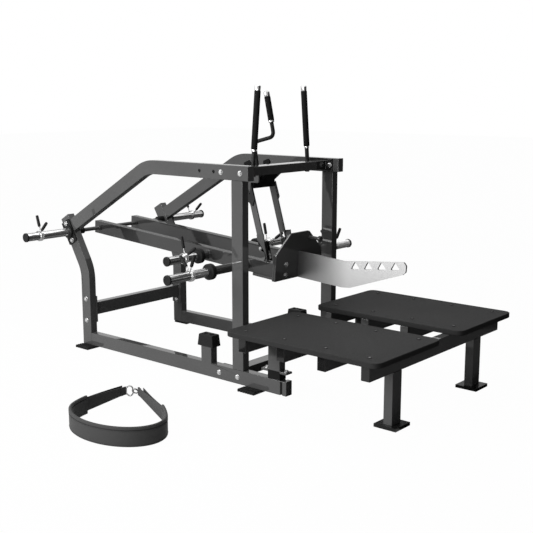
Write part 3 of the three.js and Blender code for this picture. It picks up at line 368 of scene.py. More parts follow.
def dress(name, material, rounding):
    """A CAD node keeps its mesh and gets its material and rounded edges."""
    piece = nodes[name]
    piece.data.materials.clear()
    piece.data.materials.append(material)
    add_modifier(piece, "WELD", merge_threshold=WELD_DISTANCE)
    if rounding:
        add_modifier(piece, "DECIMATE", decimate_type="DISSOLVE", angle_limit=radians(FLAT_ANGLE))
        add_modifier(piece, "BEVEL", width=rounding * MM, segments=4 if rounding >= PLATE_EDGE else 3,
                     limit_method="ANGLE", angle_limit=radians(EDGE_ANGLE), use_clamp_overlap=False,
                     miter_outer="MITER_ARC")
    add_modifier(piece, "NODES", node_group=SMOOTHING)
    add_modifier(piece, "WEIGHTED_NORMAL", keep_sharp=True)


def pairs(*names):
    """Both nodes, near and far, of each name."""
    return [f"{name}_{side}" for name in names for side in SIGN]


# Bands of distance from the middle plane, for the legs from the floor, that keep the lighter paint
PLATFORM_BAND, BEAM_BAND, STRUT_BAND = (-1, CROSS_END - 2), (-1, 280), (95.5, 106.4)
LEG_BAND = (10.6, 900)
CHEEK_BAND, CHEEK_FLOOR = (118.5, 126), 690

for material, rounding, names in (
        (PAINT, TUBE_EDGE, ["rear_cross_tube", "base_cross_tube",
                            *pairs("base_tube", "rear_upright", "front_upright", "top_tube")]),
        (LEVER_SHADED_PAINT, TUBE_EDGE, pairs("lever_rail")),
        (PAINT, FOLD_EDGE, ["lever_carriage", "arm_mount_plate"]),
        (PAINT, SHEET_EDGE, ["lever_shaft"]),
        (PLATE_PAINT, PLATE_EDGE, pairs("foot_plate")),
        (BLACK_PAINT, SHEET_EDGE, pairs("bearing_housing", "storage_plate")),
        (MATTE_BLACK, SHEET_EDGE, ["catch_hanger"]),
        (RUBBER, BLOCK_EDGE, pairs("bumper_block")),
        (RUBBER, PAD_EDGE, pairs("rear_floor_pad", "front_floor_pad"))):
    for name in names:
        dress(name, material, rounding)
for name in [*pairs("platform_frame"), "front_platform_tube"]:
    dress(name, two_paints(name, PLATFORM_BAND), TUBE_EDGE)
for name in pairs("front_leg"):
    dress(name, two_paints(name, LEG_BAND, axis="Z"), LEG_EDGE)
for name in pairs("keeper_bracket"):
    dress(name, two_paints(name, CHEEK_BAND, above=CHEEK_FLOOR), SHEET_EDGE)
dress("top_beam", two_paints("top_beam", BEAM_BAND), TUBE_EDGE)
dress("catch_frame", two_paints("catch_frame", STRUT_BAND, STRUT_LEVEL), SHEET_EDGE)

# Painted shade: the arm's colour darkens towards its root, where the mount plate shades it; its sawn edges
# stay sharp
shade_along(SHADED_ARM_STEEL, nodes["belt_arm"], start_x=60, end_x=470, share=0.16)
dress("belt_arm", SHADED_ARM_STEEL, rounding=0)


# Modelled pieces

def mesh_object(name, verts, faces, materials):
    mesh = bpy.data.meshes.new(name)
    mesh.from_pydata([tuple(v) for v in verts], [], faces)
    for material in materials:
        mesh.materials.append(material)
    made = bpy.data.objects.new(name, mesh)
    scene.collection.objects.link(made)
    return made


def add_piece(name, data, materials, body, uvs=None, sharp=SHARP_ANGLE):
    """A mesh piece that rides on a body, shaded smooth but for its sharp edges."""
    verts, faces, face_materials = data
    piece = mesh_object(name, verts, faces, materials)
    mesh = piece.data
    for polygon, material_index in zip(mesh.polygons, face_materials):
        polygon.use_smooth = True
        polygon.material_index = material_index
    if uvs:
        layer = mesh.uv_layers.new(name="strip")
        for loop in mesh.loops:
            layer.data[loop.index].uv = uvs[loop.vertex_index]
    mesh.update()
    mesh.set_sharp_from_angle(angle=radians(sharp))
    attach(piece, body)
    return piece


def plain(verts, faces, material=0):
    """Vertices and faces with one material number for all faces."""
    return verts, faces, [material] * len(faces)


def merged(*parts):
    """One set of vertices, faces and material numbers from several."""
    verts, faces, face_materials = [], [], []
    for part_verts, part_faces, part_materials in parts:
        start = len(verts)
        verts += part_verts
        faces += [[start + i for i in face] for face in part_faces]
        face_materials += part_materials
    return verts, faces, face_materials


def axes_along(direction):
    """Two unit vectors square to a direction and to each other."""
    direction = direction.normalized()
    helper = UP if abs(direction.z) < 0.9 else FORWARD
    first = direction.cross(helper).normalized()
    return first, direction.cross(first).normalized()


def circle(first, second, sides):
    """Directions all round, from one vector towards another."""
    angles = [tau * i / sides for i in range(sides)]
    return [first * cos(angle) + second * sin(angle) for angle in angles]


def lathe_data(profile, origin, direction, sides):
    """Turned surface of (radius, distance, material) points in millimetres, ends on the axis.

    A point without a material number has the first material.
    """
    direction = direction.normalized()
    spokes = circle(*axes_along(direction), sides)
    verts, faces, face_materials, rings = [], [], [], []
    for radius, along, *_ in profile:
        middle = origin + direction * along * MM
        if radius == 0:
            rings.append([len(verts)] * sides)
            verts.append(middle)
            continue
        rings.append(list(range(len(verts), len(verts) + sides)))
        verts += [middle + spoke * radius * MM for spoke in spokes]
    for j, (low, high) in enumerate(zip(rings, rings[1:])):
        for i in range(sides):
            k = (i + 1) % sides
            corners = list(dict.fromkeys([low[i], low[k], high[k], high[i]]))
            if len(corners) > 2:
                faces.append(corners)
                face_materials.append(profile[j][2] if len(profile[j]) > 2 else 0)
    return verts, faces, face_materials


def shares(steps):
    """From 0 to 1 in equal steps."""
    return [i / steps for i in range(steps + 1)]


def rise_round(radius, start, corner, material=0, steps=3):
    """Profile points from a face out to a radius, over a rounded edge."""
    return [(radius - corner * (1 - sin(angle)), start + corner * (1 - cos(angle)), material)
            for angle in (pi / 2 * share for share in shares(steps))]


def fall_round(radius, end, corner, material=0, steps=3):
    """Profile points from a radius in to a face, over a rounded edge."""
    return [(radius - corner * (1 - cos(angle)), end - corner * (1 - sin(angle)), material)
            for angle in (pi / 2 * share for share in shares(steps))]


def in_material(points, material):
    """Profile points of one material."""
    return [(radius, along, material) for radius, along in points]


def turned_piece(name, profile, origin, direction, materials, body, sides=64, sharp=SHARP_ANGLE):
    return add_piece(name, lathe_data(profile, origin, direction, sides), materials, body, sharp=sharp)


def sweep_data(points, radius, sides, closed=False, radii=None, material=0):
    """Round wire or tube along points, with frames carried along without twist."""
    count = len(points)
    verts, faces = [], []
    tangents = []
    for i in range(count):
        if closed:
            tangents.append((points[(i + 1) % count] - points[i - 1]).normalized())
        else:
            tangents.append((points[min(i + 1, count - 1)] - points[max(i - 1, 0)]).normalized())
    normal, _ = axes_along(tangents[0])
    for i in range(count):
        normal = (normal - tangents[i] * normal.dot(tangents[i])).normalized()
        reach = radii[i] if radii else radius
        verts += [points[i] + spoke * reach for spoke in circle(normal, tangents[i].cross(normal), sides)]
    for i in range(count if closed else count - 1):
        low, high = i * sides, ((i + 1) % count) * sides
        for j in range(sides):
            k = (j + 1) % sides
            faces.append([low + j, low + k, high + k, high + j])
    if not closed:
        faces.append(list(range(sides))[::-1])
        faces.append([(count - 1) * sides + j for j in range(sides)])
    return plain(verts, faces, material)


def box_data(low, high):
    """Corners and faces of an upright box between two places."""
    verts = [Vector((x, y, z)) for x in (low.x, high.x) for y in (low.y, high.y) for z in (low.z, high.z)]
    return plain(verts, [[0, 1, 3, 2], [4, 6, 7, 5], [0, 4, 5, 1], [2, 3, 7, 6], [0, 2, 6, 4], [1, 5, 7, 3]])


def chrome_piece(name, profile, origin, direction, materials, body, sides=64):
    """A turned piece with chrome on it, over the CAD node of that name."""
    piece = turned_piece(f"{name}_dressed", profile, origin, direction, materials, body, sides)
    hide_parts(name)


# Weight horns and storage horns: chrome sleeve, plastic cap, rubber ring and painted root

CHROME_PART, CAP_PART, RING_PART, ROOT_PART = range(4)
REAR_HORN = {"u": 982, "ring": 259, "end": 522, "near": CHROME, "far": CHROME}
# The far front sleeve has the chrome copy whose brightness is a painted reflection
FRONT_HORN = {"u": 1297, "ring": 493, "end": 818, "near": CHROME, "far": PAINTED_REFLECTION_CHROME}
HORN_START = RAIL_OUTER + 0.3
STEM_RADIUS = SLEEVE_RADIUS - 0.2
ROOT_WELD = [(SLEEVE_RADIUS + 4, 0), (SLEEVE_RADIUS + 2.5, 3), (STEM_RADIUS, 5)]
FLANGE_END = 15
STORAGE_FLANGE = [(40, 0), (40, 10), (38, 12), (30, 13), (27, FLANGE_END)]
CAP_INNER_ROUND, CAP_OUTER_ROUND = 1.5, 3.0
DISH_RADIUS, DISH_DEPTH = 17, 1.5
RING_ROUND, RING_STEPS = 5.0, 5


def end_cap(length):
    """Profile of the black cap at the end of a sleeve, with a shallow dish."""
    start, dish = length - CAP_LENGTH, length - DISH_DEPTH
    return [(SLEEVE_RADIUS, start, CAP_PART), *rise_round(CAP_RADIUS, start, CAP_INNER_ROUND, CAP_PART),
            *fall_round(CAP_RADIUS, length, CAP_OUTER_ROUND, CAP_PART),
            *in_material([(DISH_RADIUS, length), (DISH_RADIUS - DISH_DEPTH, dish), (0, dish)], CAP_PART)]


def stop_ring(start, end):
    """Profile of the rubber ring that stops a weight plate."""
    return [(SLEEVE_RADIUS, start, RING_PART),
            *rise_round(RING_RADIUS, start, RING_ROUND, RING_PART, RING_STEPS),
            *fall_round(RING_RADIUS, end, RING_ROUND, RING_PART), (SLEEVE_RADIUS, end, CHROME_PART)]


def weight_horn(name, horn, side):
    ring_start = horn["ring"] - HORN_START - RING_LENGTH / 2
    profile = [*in_material([(0, 0), *ROOT_WELD, (STEM_RADIUS, ring_start)], ROOT_PART),
               *stop_ring(ring_start, ring_start + RING_LENGTH), *end_cap(horn["end"] - HORN_START)]
    origin = on_lever(horn["u"], SIGN[side] * HORN_START, 0)
    chrome_piece(f"{name}_{side}", profile, origin, ACROSS[side], [horn[side], CAP_PLASTIC, RUBBER, PAINT],
                 "lever")


def storage_horn(side):
    profile = [*in_material([(0, 0), *STORAGE_FLANGE], ROOT_PART), (SLEEVE_RADIUS, FLANGE_END, CHROME_PART),
               *end_cap(STORAGE_END - STORAGE_START)]
    origin = on_lean(PIVOT_RISE, SIGN[side] * STORAGE_START)
    chrome_piece(f"storage_horn_{side}", profile, origin, ACROSS[side],
                 [CHROME, CAP_PLASTIC, RUBBER, BLACK_PAINT], "frame")


for side in SIGN:
    weight_horn("rear_weight_horn", REAR_HORN, side)
    weight_horn("front_weight_horn", FRONT_HORN, side)
    storage_horn(side)


# Spring collars

WIRE_RADIUS, COIL_GAP = 3.5, 0.3
COLLAR_TURNS, COLLAR_PITCH = 3, 8
COIL_STEPS, LEG_STEPS, BEND_STEPS = 40, 4, 4
GRIP_START, GRIP_END, GRIP_RADIUS = 58, 130, 9.4
WIRE_BEND, LEAD_SHARE, LEG_TUCK = 9, 0.6, 10
GRIP_RIBS, RIB_FIRST, RIB_MARGIN, RIB_DEPTH = 9, 6, 18, 1
RIB_OUTLINE = [(-RIB_DEPTH, 0), (0, 1.5), (0, 5), (-RIB_DEPTH, 6.4)]
GRIP_FOOT_ROUND = 1.5
KNOB_RADIUS, KNOB_LENGTH, KNOB_ROUND = GRIP_RADIUS - 0.6, 8, 5.0


def collar_route(low_deg, high_deg, place):
    """Middle line of the wire: in along one leg, round the sleeve, out along the other."""
    coil = SLEEVE_RADIUS + COIL_GAP + WIRE_RADIUS
    low = radians(low_deg)
    sweep = tau * COLLAR_TURNS + radians(high_deg - low_deg)
    steps = round(sweep / tau * COIL_STEPS)
    half = COLLAR_PITCH * COLLAR_TURNS / 2
    lead = WIRE_BEND / coil * LEAD_SHARE
    leg_foot, leg_top = coil + WIRE_BEND, GRIP_START + LEG_TUCK
    leg = [leg_foot + (leg_top - leg_foot) * share for share in shares(LEG_STEPS)]
    bend = [(coil + WIRE_BEND * (1 - share) ** 2, lead * share ** 2) for share in shares(BEND_STEPS)[1:-1]]
    route = [place(reach, low, half) for reach in leg[::-1]]
    route += [place(reach, low + turn, half) for reach, turn in bend]
    route += [place(coil, low + lead + (sweep - 2 * lead) * share, half - 2 * half * share)
              for share in shares(steps)]
    route += [place(reach, low + sweep - turn, -half) for reach, turn in bend[::-1]]
    route += [place(reach, low + sweep, -half) for reach in leg]
    return route, half


def ribbed_grip():
    """Profile of a collar's moulded grip: ribs along its length and a round end."""
    length = GRIP_END - GRIP_START
    profile = [(0, 0), *rise_round(GRIP_RADIUS - RIB_DEPTH, 0, GRIP_FOOT_ROUND)]
    for i in range(GRIP_RIBS):
        base = RIB_FIRST + i * (length - RIB_MARGIN) / GRIP_RIBS
        profile += [(GRIP_RADIUS + rise, base + along) for rise, along in RIB_OUTLINE]
    return [*profile, (KNOB_RADIUS, length - KNOB_LENGTH), *fall_round(KNOB_RADIUS, length, KNOB_ROUND),
            (0, length)]


def spring_collar(name, side, middle, low_deg, high_deg):
    """Wire coil with two legs and their moulded grips."""
    def place(reach, angle, along):
        return middle + Vector((reach * cos(angle), SIGN[side] * along, reach * sin(angle))) * MM

    route, half = collar_route(low_deg, high_deg, place)
    parts = [sweep_data(route, WIRE_RADIUS * MM, sides=12)]
    for deg, along in ((low_deg, half), (high_deg, -half)):
        angle = radians(deg)
        foot = place(GRIP_START, angle, along)
        up = (place(GRIP_END, angle, along) - foot).normalized()
        grip_verts, grip_faces, _ = lathe_data(ribbed_grip(), foot, up, sides=20)
        parts.append(plain(grip_verts, grip_faces, 1))
    piece = add_piece(f"{name}_{side}_dressed", merged(*parts), [WIRE, CAP_PLASTIC], f"{name}_{side}",
                      sharp=50)
    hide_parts(f"{name}_{side}")


STORAGE_COLLAR_Y, REAR_COLLAR_Y, FRONT_COLLAR_Y = 664, 380, 644
STORAGE_LEGS, REAR_LEGS, FRONT_LEGS = (45, 107), (35, 102), (68, 131)
for side, sign in SIGN.items():
    spring_collar("storage_collar", side, on_lean(PIVOT_RISE, sign * STORAGE_COLLAR_Y), *STORAGE_LEGS)
    spring_collar("rear_horn_collar", side, on_lever(REAR_HORN["u"], sign * REAR_COLLAR_Y, 0), *REAR_LEGS)
    spring_collar("front_horn_collar", side, on_lever(FRONT_HORN["u"], sign * FRONT_COLLAR_Y, 0),
                  *FRONT_LEGS)


# Upright grips on the beam

POST_FOOT_Y, POST_FOOT_Z = 243, 1209.2
POST_HEAD_Y, POST_HEAD_Z = 202, 1644.5
POST_RADIUS, POST_CAP, POST_SIDES = 12, 28, 48
POST_WELD = [(14, 0), (13.2, 2.4), (POST_RADIUS, 3.6)]
FOAM_RADIUS, FOAM_START, FOAM_ROUND, FOAM_GAP = 17.6, 90, 3.0, 0.3
COLLAR_RADIUS, COLLAR_ROUND = 14, 1.2
COLLAR_BOTTOM, COLLAR_TOP = FOAM_START - 13.3, FOAM_START - 0.4
CAP_SHELL, SHELL_FOOT_ROUND, SHELL_TOP_ROUND = 16.4, 1.0, 3.5
BORE_GAP = 0.2


def shell_cap(start, end):
    """Profile of the metal cap on top of a foam grip."""
    return [*rise_round(CAP_SHELL, start, SHELL_FOOT_ROUND), *fall_round(CAP_SHELL, end, SHELL_TOP_ROUND),
            (0, end)]


def foam_sleeve(name, bore, radius, start, end, foot, up, body):
    """A foam sleeve with round edges, closed round its bore."""
    profile = [(bore, start), *rise_round(radius, start, FOAM_ROUND), *fall_round(radius, end, FOAM_ROUND),
               (bore, end), (bore, start)]
    piece = turned_piece(f"{name}_dressed", profile, foot, up, [FOAM], body, POST_SIDES)
    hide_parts(name)


for side, sign in SIGN.items():
    foot = at(BEAM_X, sign * POST_FOOT_Y, POST_FOOT_Z)
    head = at(BEAM_X, sign * POST_HEAD_Y, POST_HEAD_Z)
    up = (head - foot).normalized()
    length = (head - foot).length / MM
    profile = [*in_material([(0, 0), *POST_WELD], 1), (POST_RADIUS, COLLAR_BOTTOM - BORE_GAP),
               *rise_round(COLLAR_RADIUS, COLLAR_BOTTOM, COLLAR_ROUND),
               *fall_round(COLLAR_RADIUS, COLLAR_TOP, COLLAR_ROUND), (POST_RADIUS, COLLAR_TOP, 1),
               (POST_RADIUS, length - POST_CAP), *shell_cap(length - POST_CAP, length)]
    chrome_piece(f"grip_post_{side}", profile, foot, up, [CAP_CHROME, BLACK_PAINT], "frame", POST_SIDES)
    foam_sleeve(f"foam_grip_{side}", POST_RADIUS + BORE_GAP, FOAM_RADIUS, FOAM_START,
                length - POST_CAP - FOAM_GAP, foot, up, "frame")


# Cranked pull of the catch

PULL_Y = -101
PULL_STOPS = [(-98, 1192.1), (-122, 1330), (24, 1366), (-31, 1613)]
PULL_RADIUS, PULL_BEND, PULL_BEND_STEPS, PULL_GRIP = 11, 34, 12, 90
STEM_SHARES = (0, 0.25, 0.5, 0.7)
GRIP_LENGTH, GRIP_CAP, GRIP_RING, GRIP_RING_RADIUS = 134, 26, 10, 16
PULL_FOAM_RADIUS = FOAM_RADIUS - 0.4
PULL_WELD = [(0, -1), (14, -1), (13, 2.4), (PULL_RADIUS, 4), (0, 4)]


def pull_route(stops):
    """Straights and round bends through the stops of the pull."""
    route = [stops[0] + (stops[1] - stops[0]) * share for share in STEM_SHARES]
    for i in (1, 2):
        enter = stops[i] + (stops[i - 1] - stops[i]).normalized() * PULL_BEND * MM
        leave = stops[i] + (stops[i + 1] - stops[i]).normalized() * PULL_BEND * MM
        for share in shares(PULL_BEND_STEPS):
            route.append(enter.lerp(stops[i], share).lerp(stops[i].lerp(leave, share), share))
    return [*route, stops[3]]


stops = [at(x, PULL_Y, z) for x, z in PULL_STOPS]
stem_up = (stops[1] - stops[0]).normalized()
pull_up = (stops[3] - stops[2]).normalized()
grip_foot = stops[2] + pull_up * PULL_GRIP * MM
ring_profile = [(0, -GRIP_RING), *rise_round(GRIP_RING_RADIUS, -GRIP_RING, COLLAR_ROUND),
                *fall_round(GRIP_RING_RADIUS, -FOAM_GAP, COLLAR_ROUND), (0, -FOAM_GAP)]
cap_start = GRIP_LENGTH + FOAM_GAP
cap_profile = [(0, cap_start), *shell_cap(cap_start, cap_start + GRIP_CAP)]
pull_data = merged(sweep_data(pull_route(stops), PULL_RADIUS * MM, sides=32, material=1),
                   lathe_data(ring_profile, grip_foot, pull_up, POST_SIDES),
                   lathe_data(cap_profile, grip_foot, pull_up, POST_SIDES),
                   lathe_data(in_material(PULL_WELD, 1), stops[0] + stem_up * MM, stem_up, sides=32))
pull_piece = add_piece("catch_pull_dressed", pull_data, [CAP_CHROME, BLACK_PAINT], "catch")
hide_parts("catch_pull")
foam_sleeve("catch_grip", PULL_RADIUS + BORE_GAP, PULL_FOAM_RADIUS, 0, GRIP_LENGTH, grip_foot, pull_up,
            "catch")


# Bolts: a washer and a chamfered hexagon head over each plain head of the solids

WASHER_SINK, WASHER_SIDE, WASHER_TOP, WASHER_CHAMFER = 0.4, 1.6, 2.2, 0.8
HEAD_FOOT, HEAD_SHOULDER, HEAD_CHAMFER, HEAD_CROWN = 2.0, 1.6, 2.2, 0.3
# Radius and height of a head, and radius of its washer
FRAME_BOLT, KEEPER_BOLT, HANGER_BOLT = (11.6, 8.8, 15.0), (8.4, 6.0, 10.5), (9.6, 6.0, 12.0)


def hexagon_bolt(name, place, direction, body, size=FRAME_BOLT):
    radius, height, washer = size
    washer_profile = [(0, -WASHER_SINK), (washer, -WASHER_SINK), (washer, WASHER_SIDE),
                      (washer - WASHER_CHAMFER, WASHER_TOP), (0, WASHER_TOP)]
    head_profile = [(0, HEAD_FOOT), (radius, HEAD_FOOT), (radius, height - HEAD_SHOULDER),
                    (radius - HEAD_CHAMFER, height), (0, height + HEAD_CROWN)]
    data = merged(lathe_data(washer_profile, place, direction, sides=32),
                  lathe_data(head_profile, place, direction, sides=6))
    add_piece(name, data, [ZINC], body, sharp=25)


# Pairs of bolts: the middle of each pair, and how far the bolts stand from it
PAIR = ((1, -1), (2, 1))
BOLT_REACH = 69.5
JOINT_BOLTS = {"base_bolt": ((-32, 54), (BOLT_REACH, 0)), "beam_bolt": ((BEAM_X, BEAM_Z), (BOLT_REACH, 0)),
               "rear_bolt": ((UPRIGHT_X, 241), (0, BOLT_REACH))}
FLANGE_GAP = 10.3
STORAGE_BOLT_REACH = 58
MOUNT_BOLT_Y, MOUNT_BOLT_REACH = 115, 31
FOOT_BOLT_X, FOOT_BOLT_REACH, FOOT_BOLT_Y, FOOT_BOLT_Z = 299, 67, 405, 144
KEEPER_BOLT_U, KEEPER_BOLT_Y, KEEPER_BOLT_W = 1340.9, 125, 91
HANGER_BOLT_PLACE = (-130, 0, 1108)
LEVER_FORWARD = Vector((cos(SLOPE), 0, -sin(SLOPE)))

for side, sign in SIGN.items():
    out = ACROSS[side]
    for label, ((x, z), (reach_x, reach_z)) in JOINT_BOLTS.items():
        for number, k in PAIR:
            bolt_x, bolt_z, inner = x + k * reach_x, z + k * reach_z, SIDE_INNER - FLANGE_GAP
            hexagon_bolt(f"{label}_{side}_{number}", at(bolt_x, sign * SIDE_OUTER, bolt_z), out, "frame")
            hexagon_bolt(f"{label}_nut_{side}_{number}", at(bolt_x, sign * inner, bolt_z), -out, "frame")
    for number, k in PAIR:
        place = on_lean(PIVOT_RISE + k * STORAGE_BOLT_REACH, sign * (SIDE_OUTER + FLANGE_GAP))
        hexagon_bolt(f"storage_bolt_{side}_{number}", place, out, "frame")
        place = on_lever(MOUNT_FRONT, sign * MOUNT_BOLT_Y, k * MOUNT_BOLT_REACH)
        hexagon_bolt(f"mount_bolt_{side}_{number}", place, LEVER_FORWARD, "lever")
        place = at(FOOT_BOLT_X + k * FOOT_BOLT_REACH, sign * FOOT_BOLT_Y, FOOT_BOLT_Z)
        hexagon_bolt(f"foot_bolt_{side}_{number}", place, UP, "frame")
    place = on_lever(KEEPER_BOLT_U, sign * KEEPER_BOLT_Y, KEEPER_BOLT_W)
    hexagon_bolt(f"keeper_bolt_{side}", place, out, "lever", KEEPER_BOLT)
hexagon_bolt("hanger_bolt", at(*HANGER_BOLT_PLACE), FORWARD, "frame", HANGER_BOLT)


# Screws of the foot plates: low round heads with a socket

SCREW_OUTLINE = [(0, -0.2), (9.5, -0.2), (9.3, 0.8), (8.4, 2.2), (6.6, 2.9), (4.4, 3.5), (4.2, 3.1),
                 (0, 3.05)]
SCREW_ROWS = {"inner": 178, "outer": 612}
SCREWS_IN_ROW = 4

for side, sign in SIGN.items():
    for i in range(SCREWS_IN_ROW):
        for label, y in SCREW_ROWS.items():
            place = at(CROSS_FIRST + i * CROSS_PITCH, sign * y, PLANK_TOP)
            turned_piece(f"plate_screw_{side}_{label}_{i + 1}", SCREW_OUTLINE, place, UP, [DULL_ZINC],
                         "frame", sides=24, sharp=40)


# Round plugs in the top tubes, and a black strip on the joint line of the base tubes' end plugs: a dark
# joint with the groove's shade painted in

PLUG_XS, PLUG_RADIUS = (-131, -238), 8.6
PLUG_OUTLINE = [(0, -1.9), (PLUG_RADIUS, -1.9), (PLUG_RADIUS, -0.6), (PLUG_RADIUS - 1, 0.1),
                (PLUG_RADIUS - 3, -0.3), (0, -0.8)]
JOINT_LOW, JOINT_HIGH, JOINT_PROUD = (344, 20), (356, 88), 0.3


def box_piece(name, low, high, material):
    add_piece(name, box_data(low, high), [material], "frame")


for side, sign in SIGN.items():
    y = sign * SIDE_OUTER
    for number, x in enumerate(PLUG_XS, 1):
        turned_piece(f"tube_plug_{side}_{number}", PLUG_OUTLINE, at(x, y, BEAM_Z), ACROSS[side],
                     [MATTE_BLACK], "frame", sides=32, sharp=40)
    # Black strip over the joint groove: a dark joint, with the groove's shade painted in
    box_piece(f"base_joint_painted_shade_{side}", at(JOINT_LOW[0], y - JOINT_PROUD, JOINT_LOW[1]),
              at(JOINT_HIGH[0], y + JOINT_PROUD, JOINT_HIGH[1]), MATTE_BLACK)


# Feet, pads and hanger: the thick edges and ribs that the plain nodes lack

FOOT_LIP, FOOT_HEIGHT = 2, 17
PAD_RIB_HEIGHT, PAD_RIB_WIDTH, PAD_RIB_PITCH, PAD_RIBS = 3.2, 7, 14, 4
PAD_RIB_INSET, PAD_RIB_MARGIN, PAD_RIB_SINK = 2, 3, 0.5
SHOE_LOW, SHOE_HIGH = (259, 378, 94.5), (341, 431, 143)
APRON_LOW, APRON_HIGH = (-192, -94.5, 1066), (-131, 94.5, 1094)


for side, sign in SIGN.items():
    low, high = (Vector(corner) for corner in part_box(f"front_leg_{side}"))
    lip = Vector((FOOT_LIP, FOOT_LIP, 0)) * MM
    high.z = FOOT_HEIGHT * MM
    box_piece(f"front_foot_{side}", low - lip, high + lip, BLACK_PAINT)
    low, high = (at(x, sign * y, z) for x, y, z in (SHOE_LOW, SHOE_HIGH))
    box_piece(f"post_shoe_{side}", low, high, MATTE_BLACK)
    for end in ("rear", "front"):
        low, high = (Vector(corner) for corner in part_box(f"{end}_floor_pad_{side}"))
        outer = low.y if side == "near" else high.y
        margin, half = PAD_RIB_MARGIN * MM, PAD_RIB_WIDTH / 2
        for number in range(PAD_RIBS):
            middle = outer - sign * (half + PAD_RIB_INSET + number * PAD_RIB_PITCH) * MM
            rib_low = Vector((low.x + margin, middle - half * MM, high.z - PAD_RIB_SINK * MM))
            rib_high = Vector((high.x - margin, middle + half * MM, high.z + PAD_RIB_HEIGHT * MM))
            box_piece(f"{end}_pad_rib_{side}_{number + 1}", rib_low, rib_high, RUBBER)
box_piece("hanger_apron", at(*APRON_LOW), at(*APRON_HIGH), MATTE_BLACK)


# Upper ends of the keepers' outer cheeks, over the struts' toes

CHEEK_INNER, CHEEK_OUTER = 119, 125
CHEEK_CORNERS = [(1317, 133), (1367, 133), (1357, 178), (1306, 166)]
CHEEK_FACES = [[3, 2, 1, 0], [4, 5, 6, 7], [0, 1, 5, 4], [1, 2, 6, 5], [2, 3, 7, 6], [3, 0, 4, 7]]
for side, sign in SIGN.items():
    verts = [on_lever(u, sign * y, w) for y in (CHEEK_INNER, CHEEK_OUTER) for u, w in CHEEK_CORNERS]
    add_piece(f"keeper_cheek_{side}", plain(verts, CHEEK_FACES), [PAINT], "lever")


# Belt

BAND_X, BAND_Y, BAND_LONG, BAND_WIDE = 47, -1303, 274.5, 190.5
BAND_LEFT, BAND_RIGHT = Vector((-246, -1258)), Vector((151, -1104))
BAND_FROM, BAND_TO, BAND_STEPS, END_STEPS = 195, 400, 84, 8
BAND_HEIGHT, BAND_HALF, BAND_EDGE = 98, 6.2, 5
RIM_HALF, RIM_ROUND, RIM_LOW, RIM_STEPS = 7.0, 6, 84, 6
GROOVE_HIGH, GROOVE_LOW, GROOVE_HALF, GROOVE_SLOPE = 83, 78, 3.6, 1
STRAP_ROOT, STRAP_BOTTOM, STRAP_HEIGHT = (14, 88), 30, 42
LEFT_END, RIGHT_END = Vector((-262, -985)), Vector((-200, -946))
LEFT_TAIL, RIGHT_TAIL = Vector((-292, -982)), Vector((-177, -934))
STRAP_HALF, STRAP_STEPS = 1.5, 12
STRAP_SECTION = [(STRAP_HALF, 0.01), (STRAP_HALF, 0.99), (0.5, 1), (-0.5, 1), (-STRAP_HALF, 0.99),
                 (-STRAP_HALF, 0.01), (-0.5, 0), (0.5, 0)]
LAYER_FRONT, LAYER_BACK = 1.8, 1.9
TURN_WIDE, TURN_LONG, TURN_SETBACK, TURN_STEPS = 4.6, 5.2, 1, 8
RETURN_FIRST, RETURN_PITCH, RETURN_STEPS = 8, 6, 5
TAIL_BOW = 4


def band_arc(share):
    angle = radians(BAND_FROM + (BAND_TO - BAND_FROM) * share)
    return Vector((BAND_X + BAND_LONG * cos(angle), BAND_Y + BAND_WIDE * sin(angle)))


def band_route():
    """The waist band's middle line on the floor: a round front that runs straighter to both ends."""
    arc = [band_arc(share) for share in shares(BAND_STEPS)]
    ends = []
    for tip, first, second in ((BAND_LEFT, arc[0], arc[1]), (BAND_RIGHT, arc[-1], arc[-2])):
        outward = (first - second).normalized()
        bend = first + outward * (tip - first).length / 2
        ends.append([first.lerp(bend, s).lerp(bend.lerp(tip, s), s) for s in shares(END_STEPS)[1:]])
    return ends[0][::-1] + arc + ends[1]


def left_of(direction):
    return Vector((-direction.y, direction.x))


def strip_data(points, section, spans=None):
    """A closed section of (across, height) points carried along the floor, with strip UVs."""
    verts, faces, uvs = [], [], []
    count, size = len(points), len(section)
    travelled = 0.0
    around = [0.0]
    for a, b in zip(section, section[1:]):
        around.append(around[-1] + dist(a, b))
    for i, point in enumerate(points):
        before, after = points[max(i - 1, 0)], points[min(i + 1, count - 1)]
        across = left_of((after - before).normalized())
        if i:
            travelled += (point - points[i - 1]).length
        low, high = spans[i] if spans else (0, 1)
        for j, (offset, height) in enumerate(section):
            spot = point + across * offset
            verts.append(at(spot.x, spot.y, low + (high - low) * height))
            uvs.append((travelled * MM, around[j] * MM))
    for i in range(count - 1):
        for j in range(size):
            k = (j + 1) % size
            faces.append([i * size + j, (i + 1) * size + j, (i + 1) * size + k, i * size + k])
    faces.append(list(range(size)))
    faces.append([(count - 1) * size + j for j in range(size)][::-1])
    return verts, faces, uvs


def rim(half, middle, reach):
    """Points of a half round rim, from one side over the edge to the other."""
    turns = [pi * share for share in shares(RIM_STEPS)]
    return [(half * cos(turn), middle + reach * sin(turn)) for turn in turns]


def band_section():
    """Padded band with a bound rim along its top, over a sewn groove."""
    side = [(BAND_HALF, BAND_EDGE), (BAND_HALF, GROOVE_LOW), (GROOVE_HALF, GROOVE_LOW + GROOVE_SLOPE),
            (GROOVE_HALF, GROOVE_HIGH), (RIM_HALF, RIM_LOW)]
    upper = rim(RIM_HALF, BAND_HEIGHT - RIM_ROUND, RIM_ROUND)
    lower = [(-x, BAND_EDGE - z) for x, z in rim(BAND_HALF, 0, BAND_EDGE)]
    return [*side, *upper, *[(-x, z) for x, z in side[::-1]], *lower[1:-1]]


band_points = band_route()
section = band_section()
verts, faces, uvs = strip_data(band_points, section)
